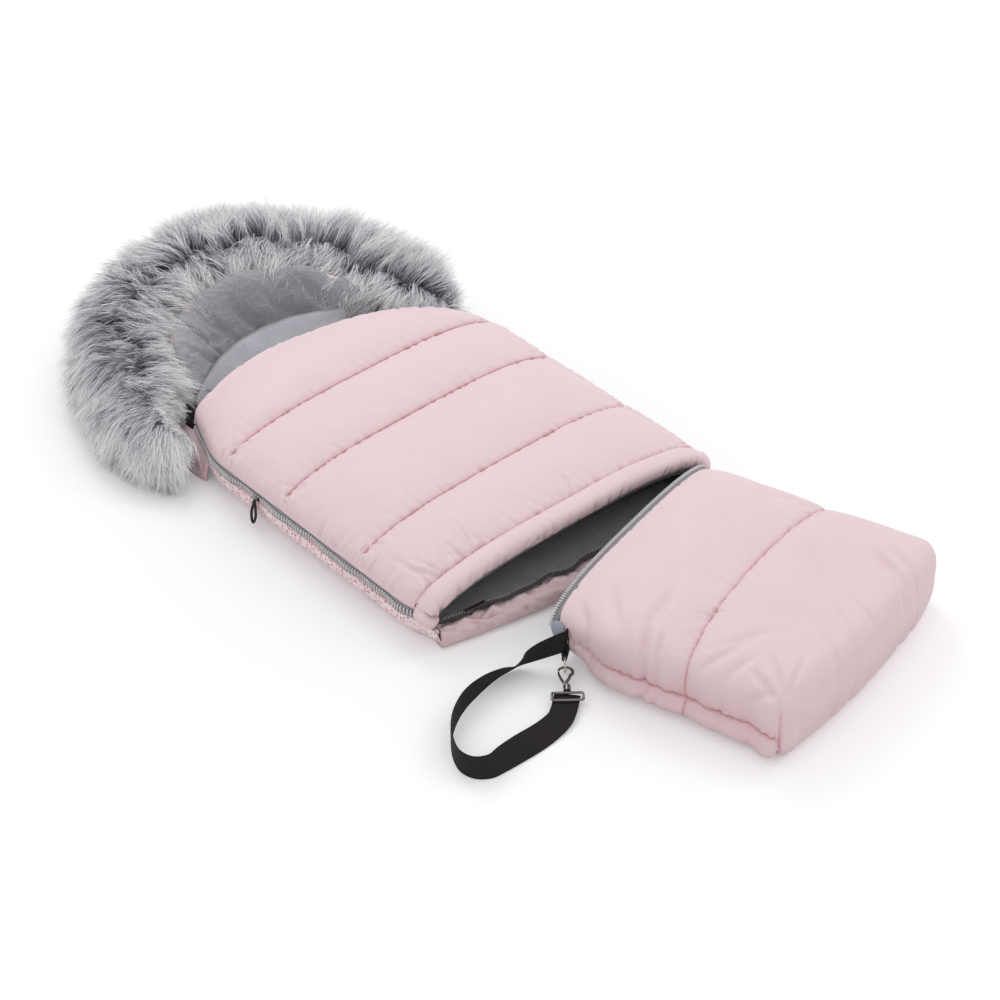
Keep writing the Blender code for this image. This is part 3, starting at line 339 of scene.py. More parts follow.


# Seam coral: the colour of seam lines and of painted shade, mixed in by the seam mark.
SEAM_AND_SHADE_CORAL = (0.62, 0.27, 0.28)
FINISH_TABLE = {
    "pink_shell": ((0.835, 0.655, 0.685), (0.80, 0.615, 0.645), 0.55, "crepe", 0.0016,
                   {"sheen": 0.10, "seam_and_shade_colour": SEAM_AND_SHADE_CORAL}),
    # The mesh's second colour is the darker coral of its holes: painted shade inside the holes.
    "pink_mesh": ((0.93, 0.76, 0.785), (0.60, 0.31, 0.32), 0.8, "holes", 0.0005, {"seam_and_shade_colour": SEAM_AND_SHADE_CORAL}),
    "grey_fleece": ((0.105, 0.102, 0.108), (0.34, 0.333, 0.345), 0.95, "nap", 0.0020,
                    {"sheen": 0.3, "specular": 0.1, "sizes": (("Stroke", 62.0),)}),
    "grey_back": ((0.42, 0.425, 0.47), (0.60, 0.61, 0.66), 0.95, "nap", 0.0016,
                  {"sheen": 0.25, "specular": 0.1, "seam_and_shade_colour": (0.13, 0.13, 0.145)}),
    "grey_minky": ((0.27, 0.275, 0.295), (0.43, 0.44, 0.475), 0.95, "nap", 0.0018,
                   {"sheen": 0.4, "specular": 0.1, "seam_and_shade_colour": (0.12, 0.12, 0.13)}),
    "zip_grey": ((0.26, 0.25, 0.265), (0.32, 0.31, 0.325), 0.7, "ribs", 0.0002,
                 {"seam_and_shade_colour": (0.18, 0.17, 0.18)}),
    "tooth_grey": ((0.58, 0.57, 0.59), (0.68, 0.67, 0.69), 0.42, "handling", 0.00005, {}),
    "zip_dark": ((0.030, 0.028, 0.030), (0.055, 0.052, 0.055), 0.55, "handling", 0.00005, {}),
    "tooth_dark": ((0.25, 0.245, 0.255), (0.33, 0.325, 0.335), 0.35, "handling", 0.00005, {}),
    "pale_tab": ((0.42, 0.44, 0.54), (0.50, 0.52, 0.62), 0.6, "ribs", 0.0001, {}),
    "black_webbing": ((0.011, 0.009, 0.011), (0.024, 0.020, 0.023), 0.75, "ribs", 0.0003,
                      {"specular": 0.25, "sizes": (("Ribs", 480.0), ("Threads", 420.0))}),
    "black_cord": ((0.010, 0.008, 0.009), (0.022, 0.019, 0.020), 0.6, "handling", 0.0002,
                   {"sizes": (("Slow", 700.0),)}),
    "gunmetal": ((0.20, 0.185, 0.185), (0.28, 0.265, 0.26), 0.26, "handling", 0.00004, {"metallic": 1.0}),
    "light_nickel": ((0.70, 0.66, 0.60), (0.80, 0.77, 0.72), 0.20, "handling", 0.00004, {"metallic": 1.0}),
    "thread": ((0.62, 0.33, 0.35), (0.70, 0.42, 0.44), 0.7, "handling", 0.00008, {}),
}
FINISHES = {name: finish(name, *values[:-1], **values[-1]) for name, values in FINISH_TABLE.items()}
print("materials:", len(FINISHES))

# %% [markdown]
# ## How soft pieces are built
# Every soft piece is a fine sheet of points in rows. The rows follow how the piece is sewn, so
# a stitch line is one row and a channel is the rows between two of them. Wrinkles are pressed
# in afterwards along the surface's own normals: a wrinkle is a short line with a width and a
# depth, which is how a pucker looks where thread pulls the cloth together.

# %% Rings of points into a cloth mesh
# Painted shade: how much pink cloth that faces sideways or down is mixed towards the seam coral, and from
# which slope on.
PAINTED_SIDE_SHADE = 0.13
PAINTED_SHADE_FROM = 0.72


def row_faces(rows, columns):
    """Four-sided faces between neighbouring rings of points."""
    index = np.arange(rows * columns).reshape(rows, columns)
    after = np.roll(index, -1, axis=1)
    return np.stack([index[:-1], after[:-1], after[1:], index[1:]], axis=-1).reshape(-1, 4)


def metres_along(points):
    """Distance round the rings and from ring to ring, for a UV map in metres."""
    ring = np.concatenate([points, points[:, :1]], axis=1)
    across = np.linalg.norm(np.diff(ring, axis=1), axis=2).mean(axis=0)
    down = np.linalg.norm(np.diff(points, axis=0), axis=2).mean(axis=1)
    return np.concatenate([[0.0], np.cumsum(across)]), np.concatenate([[0.0], np.cumsum(down)])


def mark_points(mesh, mark, values):
    """Write one number for every point into the mesh."""
    layer = mesh.attributes.new(mark, "FLOAT", "POINT")
    layer.data.foreach_set("value", np.ascontiguousarray(values, np.float32).reshape(-1))


def cloth(name, points, finish_names, seam=0.0, marks=None, face_finish=None):
    """A smooth mesh through rings of points, turned outwards; sides of pink cloth get a little painted warm
    shade.
    """
    rows, columns = points.shape[:2]
    faces = row_faces(rows, columns)
    flat = points.reshape(-1, 3)
    a, b, c = (flat[faces[:, k]] for k in range(3))
    across, down = metres_along(points)
    row_of, column_of = np.divmod(np.arange(len(faces)), columns)
    corners = np.stack([np.stack([across[column_of + dx], down[row_of + dy]], axis=-1)
                        for dx, dy in ((0, 0), (1, 0), (1, 1), (0, 1))], axis=1)
    if np.einsum("ij,ij->", np.cross(b - a, c - a), a - flat.mean(axis=0)) < 0:
        faces = faces[:, ::-1]
        corners = corners[:, ::-1]
    mesh = bpy.data.meshes.new(name)
    mesh.from_pydata(flat, [], faces)
    mesh.uv_layers.new(name="UVMap").uv.foreach_set("vector", corners.reshape(-1).astype(np.float32))
    mesh.shade_smooth()
    for finish_name in finish_names:
        mesh.materials.append(FINISHES[finish_name])
    if face_finish is not None:
        per_face = np.broadcast_to(face_finish, (rows - 1, columns))
        mesh.polygons.foreach_set("material_index", per_face.reshape(-1).astype(np.int32))
    normals = np.zeros(len(flat) * 3, np.float32)
    mesh.vertex_normals.foreach_get("vector", normals)
    # Painted shade: sides and undersides of pink cloth are pushed towards the seam coral.
    side_shade_paint = PAINTED_SIDE_SHADE * np.clip(PAINTED_SHADE_FROM - normals[2::3], 0, 1) * (finish_names[0] == "pink_shell")
    for mark, values in ({"seam": seam} if marks is None else marks).items():
        values = np.broadcast_to(values, (rows, columns)).reshape(-1)
        mark_points(mesh, mark, np.clip(values + side_shade_paint, 0, 1))
    return add_object(name, mesh)


COVER_BEND = ((0.001, -0.1405, 0.09), (-0.001, -0.1135, 0.09))
HOOD_BEND = ((0, 0.270, 0.02), (0, 0.300, 0.02))
FUR_BEND = ((0, 0.262, 0.02), (0, 0.305, 0.02))


def settle(item, body, nodes=(), bend=None):
    """Tie a piece to the body it moves with, or, when a bend is given, bake its place into its mesh instead;
    hide the CAD pieces it stands for.
    """
    if bend:
        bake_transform(item)
    else:
        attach(item, body)
    if nodes:
        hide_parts(*nodes)
    return item


print("cloth maker ready")

# %% Press wrinkles into a sheet of points


def eased(t):
    """A share from 0 to 1 that starts and stops gently."""
    return t * t * (3 - 2 * t)


def unit(vectors):
    return vectors / np.maximum(np.linalg.norm(vectors, axis=-1, keepdims=True), 1e-9)


def run_along(line):
    """Distance from the start of a line to each of its points."""
    return np.concatenate([[0], np.cumsum(np.linalg.norm(np.diff(line, axis=0), axis=1))])


def capped(rings, middles, share):
    """Rings with one more at each end, drawn in towards its middle to share of its size."""
    first = rings[:1] * share + middles[:1, None] * (1 - share)
    last = rings[-1:] * share + middles[-1:, None] * (1 - share)
    return np.concatenate([first, rings, last])


def surface_normals(points, wrap=False):
    """Unit normals of a sheet of points, towards the side given by rows cross columns."""
    if wrap:
        across = np.roll(points, -1, axis=1) - np.roll(points, 1, axis=1)
    else:
        across = np.gradient(points, axis=1)
    down = np.gradient(points, axis=0)
    normal = np.cross(across, down)
    return normal / np.maximum(np.linalg.norm(normal, axis=2, keepdims=True), 1e-12)


def outward_normals(points, hearts):
    """Unit normals of rings of points, turned away from the hearts inside them."""
    normals = surface_normals(points, wrap=True)
    return normals * np.sign(np.einsum("ijk,ijk->", normals, points - hearts))


def wrinkle(plan, start, end, width, depth, sewn=True):
    """Depth of one wrinkle over plan points: a sewn one is deepest at its start, others midway."""
    start, end = np.array(start, float), np.array(end, float)
    line = end - start
    share = np.clip(((plan - start) @ line) / (line @ line), 0, 1)
    off = np.linalg.norm(plan - start - share[..., None] * line, axis=-1) / width
    fade = (1 - share) ** 0.8 if sewn else np.sin(np.pi * np.clip(share, 0.02, 0.98)) ** 0.7
    return -depth * fade * (1 - 0.9 * off ** 2) * np.exp(-off ** 2)


def gathers(plan, line, count, reach, width, depth, seed, turn=0.35):
    """Small puckers standing off a stitch line, on both sides of it, at uneven places."""
    rng = np.random.default_rng(seed)
    line = np.array(line, float)
    lengths = run_along(line)
    total = np.zeros(plan.shape[:-1])
    for _ in range(count):
        place = rng.uniform(0, lengths[-1])
        k = max(min(int(np.searchsorted(lengths, place)), len(line) - 1), 1)
        share = (place - lengths[k - 1]) / max(lengths[k] - lengths[k - 1], 1e-9)
        foot = line[k - 1] + (line[k] - line[k - 1]) * share
        ahead = (line[k] - line[k - 1]) / max(np.linalg.norm(line[k] - line[k - 1]), 1e-9)
        away = np.array([-ahead[1], ahead[0]]) * rng.choice([-1.0, 1.0])
        lean = rng.normal(0, turn)
        heading = away * math.cos(lean) + ahead * math.sin(lean)
        long = reach * rng.uniform(0.4, 1.3)
        wide = width * rng.uniform(0.7, 1.4)
        close = np.abs(plan - foot).max(axis=-1) < long + 3 * wide
        total[close] += wrinkle(plan[close], foot, foot + heading * long, wide, depth * rng.uniform(0.3, 1.0))
    return total


def uneven(points, size, seed):
    """Smooth random heights from -1 to 1 over points, about size metres from bump to bump."""
    shift = Vector((seed * 7.31, seed * 3.17, seed * 1.73))
    flat = points.reshape(-1, 3) / size
    values = [noise.noise(Vector(place) + shift) for place in flat]
    return np.array(values).reshape(points.shape[:-1])


def tube(centres, sections, up=(0.0, 0.0, 1.0)):
    """Rows of points round a line; sections holds (side, up) offsets for each centre."""
    centres = np.asarray(centres, float)
    ahead = unit(np.gradient(centres, axis=0))
    side = unit(np.cross(ahead, np.array(up)))
    rise = np.cross(side, ahead)
    return centres[:, None] + side[:, None] * sections[..., :1] + rise[:, None] * sections[..., 1:]


def rounded(width, height, count, power=2.0):
    """Offsets of a rounded outline, boxier as power grows."""
    angle = np.linspace(0, 2 * math.pi, count, endpoint=False)
    c, s = np.cos(angle), np.sin(angle)
    return np.stack([np.sign(c) * np.abs(c) ** (2 / power) * width / 2,
                     np.sign(s) * np.abs(s) ** (2 / power) * height / 2], axis=-1)


print("cloth tools ready")

# %% [markdown]
# ## The muff's own lines
# All pieces share a few lines of the real sewing pattern: the outline of the back panel, the
# line of the side zips above it, the arch of the cover and the slanted stitch lines across it.

# %% Lines of the pattern
BASE_LENGTH = 0.560
HALF_BASE = 0.218
HEAD_Y = BASE_LENGTH / 2
MOUTH_Y = -BASE_LENGTH / 2
BASE_EDGE_SHARES = ((0.0, 0.94), (0.10, 1.0), (0.72, 1.0), (1.0, 0.81))
PAD_THICKNESS = 0.016
SIDE_BULGE = 0.013
ZIP_HEIGHT = 0.041
ZIP_FOOT_MARGIN = 0.012
ZIP_HEAD_MARGIN = 0.052
TAPE_WIDTH = 0.009
LIP_HEIGHT = 0.026
LIP_DEPTH = 0.020
LIP_BULGE = 0.018
LIP_END_REACH = 0.006
RIM_DEPTH = 0.030
RIM_HEIGHT = 0.024
RIM_SETBACK = 0.016
COVER_LENGTH = 0.494
COVER_RISE = 0.037
SEAM_SKEW = 0.0175
FOLD_SEAM, MIDDLE_SEAM, HEAD_SEAM = 0.153, 0.303, 0.417


def base_half_width(y):
    """Half width of the back panel at y."""
    t = (np.asarray(y, float) - MOUTH_Y) / BASE_LENGTH
    value = np.full(t.shape, BASE_EDGE_SHARES[0][1])
    for (t0, v0), (t1, v1) in zip(BASE_EDGE_SHARES, BASE_EDGE_SHARES[1:]):
        s = np.clip((t - t0) / (t1 - t0), 0, 1)
        value = np.where(t > t0, v0 + (v1 - v0) * s * s * (3 - 2 * s), value)
    return HALF_BASE * value


def zip_half_width(y):
    return base_half_width(y) + SIDE_BULGE


def zip_height(y):
    drop = np.clip(1 - (y - MOUTH_Y - ZIP_FOOT_MARGIN) / (RIM_DEPTH + RIM_SETBACK), 0, None)
    return ZIP_HEIGHT - (ZIP_HEIGHT - LIP_HEIGHT) * drop ** 2 * 0.4


def arch(u):
    return np.clip(1 - np.abs(u) ** 3, 0, None) ** 0.5


def cross_seam(distance, u, skew=SEAM_SKEW):
    return MOUTH_Y + distance + skew * u


def top_edge(u):
    return MOUTH_Y + COVER_LENGTH + 0.035 * (1 - u * u) - 0.014 * u


def seam_height(u, y):
    return zip_height(y) + TAPE_WIDTH / 2 + COVER_RISE * arch(u)


def rim_line(u):
    """Middle of the rolled rim, for u from -1 at the near side to 1 at the far side."""
    y = MOUTH_Y + RIM_SETBACK + RIM_DEPTH / 2 + SEAM_SKEW / 2 * u
    z = seam_height(u, y) - RIM_HEIGHT * 0.20
    return np.stack([u * (zip_half_width(y) - RIM_HEIGHT * 0.04), y, z], axis=-1)


def lip_line(u):
    """Middle of the lip under the feet."""
    y = MOUTH_Y + LIP_DEPTH / 2 - LIP_BULGE * np.clip(1 - u * u, 0, None)
    x = u * (base_half_width(MOUTH_Y) + LIP_END_REACH)
    return np.stack([x, y, np.full(np.shape(u), LIP_HEIGHT / 2)], axis=-1)


print("pattern lines ready")

# %% [markdown]
# ## Carry strap
# Flat webbing 30 mm wide leaves the ring tab at the bag's corner, drops on edge to the floor,
# turns right round and comes back lying flat into the rectangular loop of the snap hook. It is
# drawn as a ribbon through a route measured on the picture: the place of its lower edge, and
# how far it leans over from upright.

# %% Lay the strap
STRAP_WIDTH = 0.030
STRAP_THICKNESS = 0.0018
STRAP_ROUTE = (
    (-0.12615, -0.39278, 0.0198, 0),
    (-0.152, -0.375, 0.010, 12), (-0.168, -0.363, 0.003, 34), (-0.186, -0.360, 0.0, 42),
    (-0.208, -0.363, 0.0, 26), (-0.234, -0.370, 0.0, 10), (-0.260, -0.379, 0.0, 2),
    (-0.285, -0.393, 0.0, 0), (-0.306, -0.411, 0.0, 0), (-0.322, -0.433, 0.0, 0),
    (-0.330, -0.455, 0.0, 0), (-0.326, -0.474, 0.0, 4), (-0.311, -0.486, 0.0, 14),
    (-0.290, -0.488, 0.0, 30), (-0.264, -0.488, 0.0, 46), (-0.238, -0.487, 0.0, 60),
    (-0.213, -0.484, 0.001, 72), (-0.190, -0.478, 0.003, 82), (-0.173, -0.468, 0.005, 88),
    (-0.15131, -0.44982, 0.00522, 90),
)
HOOK_BASE = Vector((-0.12595, -0.39299, 0.0096))


def through(route, per_span):
    """Smooth rows through a list of equal tuples."""
    table = np.array(route, float)
    rows = []
    for k in range(len(table) - 1):
        p0, p1, p2 = table[max(k - 1, 0)], table[k], table[k + 1]
        p3 = table[min(k + 2, len(table) - 1)]
        for s in np.arange(per_span) / per_span:
            rows.append(0.5 * (2 * p1 + (p2 - p0) * s + (2 * p0 - 5 * p1 + 4 * p2 - p3) * s ** 2
                               + (3 * p1 - p0 - 3 * p2 + p3) * s ** 3))
    return np.array(rows + [table[-1]])


def strap_stations():
    """Middle, width direction and heading of the webbing along its route."""
    rows = through(STRAP_ROUTE, 6)
    heading = unit(np.gradient(rows[:, :2], axis=0))
    lean = np.radians(rows[:, 3])
    across = np.stack([-heading[:, 1] * np.sin(lean), heading[:, 0] * np.sin(lean), np.cos(lean)], axis=1)
    low = np.stack([rows[:, 0], rows[:, 1], np.maximum(rows[:, 2], 0) + STRAP_THICKNESS / 2], axis=1)
    ahead = np.concatenate([heading, np.zeros((len(rows), 1))], axis=1)
    return low + across * STRAP_WIDTH / 2, across, ahead


strap_middle, strap_across, strap_ahead = strap_stations()
strap_face = unit(np.cross(strap_across, strap_ahead))
edge = rounded(STRAP_WIDTH, STRAP_THICKNESS, 28, 7.0)
strap_rows = strap_middle[:, None] + strap_across[:, None] * edge[:, :1] + strap_face[:, None] * edge[:, 1:]
carry_strap = cloth("carry_strap", capped(strap_rows, strap_middle, 0.02), ["black_webbing"], marks={})
settle(carry_strap, "carry_strap", ["strap_webbing"])

# %% [markdown]
# ## Quilted cover
# Two layers of nylon with wadding between them, stitched through across the muff, so the
# wadding stands up in broad channels. Between the stitch lines the sides roll out over the zip;
# at each line the thread pulls them in, and the cloth gathers in short puckers. The top edge is
# a soft turned hem. The cover is one closed pad.

# %% Shape the channels
COVER_COLUMNS = 341
UNDER_COLUMNS = 41
COVER_ROWS = (44, 62, 54, 46)
CHANNEL_PUFF = 0.0125
PAD_DEPTH = 0.0065
ROLL_OUT = 0.0065
SEAM_STOP = 0.942
FOOT_TUCK = 0.0045
HEM_ROWS = 7


def channel_lines(u):
    """The five lines across the cover, from the rim seam to the top edge, at each u."""
    return np.stack([cross_seam(RIM_SETBACK + RIM_DEPTH - FOOT_TUCK, u, SEAM_SKEW / 2),
                     cross_seam(FOLD_SEAM, u), cross_seam(MIDDLE_SEAM, u), cross_seam(HEAD_SEAM, u),
                     top_edge(u)])


def cover_rows():
    """Channel number and share within it for every row, closer together near a stitch line."""
    rows = []
    for channel, count in enumerate(COVER_ROWS):
        last = channel == len(COVER_ROWS) - 1
        for n in range(count + last):
            rows.append((channel, 0.5 - 0.5 * math.cos(math.pi * n / count)))
    return rows


def cover_top(u):
    """Outer surface of the cover with its seam mark, a coral seam line with painted shade beside it: rows
    along the muff, columns across it.
    """
    lines = channel_lines(u)
    points, marks = [], []
    side = np.sign(u) * np.clip((np.abs(u) - 0.80) / 0.20, 0, 1)
    open_end = eased(np.clip((np.abs(u) - SEAM_STOP + 0.060) / 0.085, 0, 1))
    for channel, t in cover_rows():
        y = lines[channel] + (lines[channel + 1] - lines[channel]) * t
        puff = (4 * t * (1 - t)) ** 0.60
        if channel == 3:
            puff = max(puff, 0.42 * min(1.0, 4 * t))
        puff = puff + (0.62 + 0.38 * puff - puff) * open_end
        flat = (1 - np.abs(u) ** 5) ** 0.7
        z = seam_height(u, y) + CHANNEL_PUFF * puff * flat + 0.0012
        droop = np.sin(math.pi * np.clip(np.abs(side), 0, 1)) * np.abs(side)
        x = u * zip_half_width(y) + np.sign(u) * ROLL_OUT * puff ** 0.8 * droop ** 0.8
        z = z - 0.0035 * puff * droop ** 2
        points.append(np.stack([x, y, z], axis=-1))
        distance = min(abs(t), abs(1 - t) if channel < 3 else 1.0) * (lines[channel + 1] - lines[channel])
        fade = np.clip((SEAM_STOP - np.abs(u)) / 0.012, 0, 1) if channel or t > 0.5 else 1.0
        # Seam mark: a thin coral line at each stitch line, partly thread and partly painted crease shade, and
        # a broader painted shade of the valley beside it.
        thread_and_crease_shade = np.exp(-(distance / 0.0009) ** 2) * 0.62
        marks.append((thread_and_crease_shade + np.exp(-(distance / 0.006) ** 2) * 0.13) * fade)
    return np.array(points), np.array(marks)


share = np.linspace(-1, 1, COVER_COLUMNS)
cover_u = np.sign(share) * (1 - (1 - np.abs(share)) ** 1.55)
cover_points, cover_seam_and_shade = cover_top(cover_u)
print("cover sheet", cover_points.shape)

# %% Press the puckers into the cover


def seam_trace(line_number, count=60):
    u = np.linspace(-0.97, 0.97, count)
    y = channel_lines(u)[line_number]
    return np.stack([u * zip_half_width(y), y], axis=-1)


HOOK_SIZE = 0.0105
HOOK_STEPS = 4
END_PUCKERS = (
    (0.95, 0.046, 0.0048, 0.0016), (0.50, 0.034, 0.0044, 0.0010), (-0.55, 0.040, 0.0048, 0.0014),
    (-1.05, 0.030, 0.0044, 0.0012), (2.95, 0.009, 0.0020, 0.0014),
)
COVER_GATHERS = (
    (0, 60, 90, 0.034, 0.0040, 0.0011, 0.5), (1, 60, 100, 0.028, 0.0038, 0.0010, 0.35),
    (2, 60, 100, 0.028, 0.0038, 0.0010, 0.35), (3, 60, 100, 0.030, 0.0040, 0.0011, 0.35),
    (4, 60, 26, 0.030, 0.0050, 0.0012, 0.6), (0, 60, 70, 0.050, 0.0034, 0.0016, 0.4),
    (0, 16, 26, 0.060, 0.0038, 0.0026, 0.5),
)
SIDE_PUCKERS = 58
cover_plan = cover_points[..., :2]
relief = np.zeros(cover_plan.shape[:-1])
for seed, (seam, traced, count, reach, wide, deep, turn) in enumerate(COVER_GATHERS, 1):
    relief += gathers(cover_plan, seam_trace(seam)[:traced], count, reach, wide, deep, seed, turn)
for end in (-1, 1):
    for number in (1, 2, 3):
        y_end = float(channel_lines(np.array([end * SEAM_STOP]))[number][0])
        x_end = end * float(zip_half_width(y_end)) * SEAM_STOP
        for lean, long, wide, depth in END_PUCKERS:
            tip = (x_end - end * long * math.cos(lean), y_end + long * math.sin(lean))
            relief += wrinkle(cover_plan, (x_end, y_end), tip, wide, depth)
        for n in range(HOOK_STEPS):
            bend = [math.pi * (0.02 + 0.55 * (n + k) / HOOK_STEPS) for k in (0, 1)]
            arc = [(x_end + end * HOOK_SIZE * math.sin(b), y_end - HOOK_SIZE * 0.9 * (1 - math.cos(b)))
                   for b in bend]
            relief += wrinkle(cover_plan, arc[0], arc[1], 0.0017, 0.0012, sewn=False)
    side_places = np.linspace(MOUTH_Y + 0.055, MOUTH_Y + COVER_LENGTH - 0.02, SIDE_PUCKERS)
    wander = np.random.default_rng(11 + end).uniform(-0.004, 0.004, (SIDE_PUCKERS, 2))
    for place, (shift, slope) in zip(side_places, wander):
        foot = (end * float(zip_half_width(place)) * 1.01, place + shift)
        tip = (foot[0] - end * (0.020 + 4 * abs(slope)), place + shift + slope * 2.4)
        relief += wrinkle(cover_plan, foot, tip, 0.0030, 0.0021)
relief = np.maximum(relief, -0.0036)
relief += 0.0012 * uneven(cover_points, 0.070, 1) + 0.0004 * uneven(cover_points, 0.018, 2)
facing_up = surface_normals(cover_points)
facing_up *= np.sign(facing_up[..., 2:3].mean())
quiet = np.minimum(1, (1 - np.abs(cover_u)) / 0.004)[None, :, None]
cover_points = cover_points + facing_up * relief[..., None] * quiet
print("puckers pressed, deepest", round(float(relief.min()) * 1000, 2), "mm")

# %% Close the cover into a pad


def cover_under(points, count):
    """The fleece side: the outer sheet read back the other way, set in by the pad's depth."""
    u = np.linspace(1, -1, count + 2)[1:-1]
    at = np.interp(u, cover_u, np.arange(len(cover_u)))
    low = np.floor(at).astype(int)
    part = (at - low)[None, :, None]
    y = (points[:, low] * (1 - part) + points[:, low + 1] * part)[..., 1]
    x = u * (zip_half_width(y) - 0.006)
    z = seam_height(u, y) - PAD_DEPTH + 0.0008 * np.sin(55 * y + 3 * u)
    return np.stack([x, y, z], axis=-1)


cover_ring = np.concatenate([cover_points, cover_under(cover_points, UNDER_COLUMNS)], axis=1)
cover_pad_seam_and_shade = np.concatenate([cover_seam_and_shade, np.zeros((len(cover_seam_and_shade), UNDER_COLUMNS))], axis=1)


def hem(ring, direction, count):
    """Rows that roll the end of a pad round to a closed edge."""
    top = ring[:COVER_COLUMNS]
    back = ring[COVER_COLUMNS:]
    under_u = np.linspace(1, -1, UNDER_COLUMNS + 2)[1:-1]
    mates = np.interp(cover_u, under_u[::-1], np.arange(UNDER_COLUMNS)[::-1])
    low = np.clip(np.floor(mates).astype(int), 0, UNDER_COLUMNS - 2)
    part = (mates - low)[:, None]
    opposite = back[low] * (1 - part) + back[low + 1] * part
    half = (top[:, 2] - opposite[:, 2]) / 2
    middle_top = (top[:, 2] + opposite[:, 2]) / 2
    back_half = np.interp(under_u[::-1], cover_u, half)[::-1]
    back_middle = np.interp(under_u[::-1], cover_u, middle_top)[::-1]
    rows = []
    for n in range(1, count + 1):
        turn = math.pi / 2 * n / count
        new_top, new_back = top.copy(), back.copy()
        new_top[:, 2] = middle_top + half * math.cos(turn)
        new_top[:, 1] += direction * half * math.sin(turn)
        new_back[:, 2] = back_middle - back_half * math.cos(turn)
        new_back[:, 1] += direction * back_half * math.sin(turn)
        rows.append(np.concatenate([new_top, new_back]))
    return np.array(rows)


cover_ring = np.concatenate([hem(cover_ring[0], -1, 3)[::-1], cover_ring, hem(cover_ring[-1], 1, HEM_ROWS)])
hem_mark = np.zeros((HEM_ROWS, cover_ring.shape[1]))
cover_pad_seam_and_shade = np.concatenate([hem_mark[:3], cover_pad_seam_and_shade, hem_mark])
is_under = np.arange(cover_ring.shape[1]) >= COVER_COLUMNS - 1
quilted_cover = cloth("quilted_cover", cover_ring, ["pink_shell", "grey_fleece"], cover_pad_seam_and_shade,
                      face_finish=is_under.astype(int)[None, :])
settle(quilted_cover, "cover",
       ["cover_foot_panel", "cover_main_panel", "cover_foot_lining", "cover_main_lining"], COVER_BEND)
print("cover faces", len(quilted_cover.data.polygons))

# %% [markdown]
# ## Rolled rim and lip of the foot mouth
# Over the feet the cover ends in a roll of wadding about 30 mm deep. Its lower side is sewn to
# the zip tape and pinched in at uneven places. Under the feet the back panel ends in a smaller
# lip, bowed outwards, whose top edge carries the other half of the foot zip.

# %% Roll the rim
RIM_END = ((0.0030, -0.0010, -0.0035, -0.0010), (0.0050, -0.0035, -0.0095, -0.0035),
           (0.0055, -0.0065, -0.0150, -0.0080))
RIM_AROUND = 64
RIM_RADIUS = 0.0135


def roll_plan(centres, around, radius):
    """Distance along a roll, the angles round it, and the plan of its skin in metres."""
    run = run_along(centres)
    angle = np.linspace(0, 2 * math.pi, around, endpoint=False)
    return run, angle, np.stack(np.broadcast_arrays(run[:, None], angle[None] * radius), axis=-1)


def pressed(points, centres, depths):
    """Rings of points moved along their outward normals."""
    return points + outward_normals(points, centres[:, None]) * depths[..., None]


rim_centres = rim_line(np.sin(math.pi / 2 * np.linspace(-1, 1, 270)) * 0.985)
for end in (-1, 1):
    corner, before = rim_centres[(0, 5) if end < 0 else (-1, -6), :]
    onward = (corner - before) / np.linalg.norm(corner - before)
    bends = [corner + onward * reach + np.array([end * x, y, z]) for reach, x, y, z in RIM_END]
    turn_down = through([corner] + bends, 5)[1:]
    rim_centres = np.concatenate([turn_down[::-1], rim_centres] if end < 0 else [rim_centres, turn_down])
rim_count = len(rim_centres)
rim_full = (0.58 + 0.42 * (1 - np.abs(np.linspace(-1, 1, rim_count)) ** 4))[:, None, None]
past_end = 1 - np.clip(np.minimum(np.arange(rim_count), np.arange(rim_count)[::-1]) / 16, 0, 1)
rim_close = np.sqrt(1 - (0.95 * past_end) ** 2.4)[:, None, None]
outline = rounded(RIM_DEPTH + 0.001, RIM_HEIGHT, RIM_AROUND, 2.3)[None]
rim_sections = np.concatenate([outline[..., :1] * rim_close, outline[..., 1:] * rim_full * rim_close],
                              axis=-1)
rim_points = tube(rim_centres, rim_sections)
rim_along, rim_angle, rim_plan = roll_plan(rim_centres, RIM_AROUND, RIM_RADIUS)
rim_relief = np.zeros(rim_points.shape[:2])
pinches = np.random.default_rng(5)
rim_middle = rim_points[rim_count // 2]
front_angle = rim_angle[np.argmin(rim_middle[:, 1] + 0.6 * rim_middle[:, 2])]
top_angle = rim_angle[np.argmax(rim_middle[:, 2])]
to_top = np.sign(math.sin(top_angle - front_angle))
for n in range(74):
    place = rim_along[-1] * pinches.uniform(0, 1) ** (2.0 if n % 2 else 1.0)
    start_turn = (front_angle + to_top * pinches.uniform(-0.45, 0.25)) * RIM_RADIUS
    reach = pinches.uniform(0.008, 0.024)
    lean = pinches.normal(0.35, 0.35)
    tip = (place + reach * math.sin(lean), start_turn + to_top * reach * math.cos(lean))
    wide, deep = pinches.uniform(0.0024, 0.0042), pinches.uniform(0.0010, 0.0030)
    for whole_turn in (0, 2 * math.pi * RIM_RADIUS):
        rim_relief += wrinkle(rim_plan, (place, start_turn - whole_turn), (tip[0], tip[1] - whole_turn),
                              wide, deep)
rim_relief += 0.0009 * uneven(rim_points, 0.045, 3)
rim_points = pressed(rim_points, rim_centres, rim_relief)
foot_rim = cloth("foot_rim", capped(rim_points, rim_centres, 0.1), ["pink_shell"])
settle(foot_rim, "muff_base", ["mouth_rim"])
print("rim faces", len(foot_rim.data.polygons))

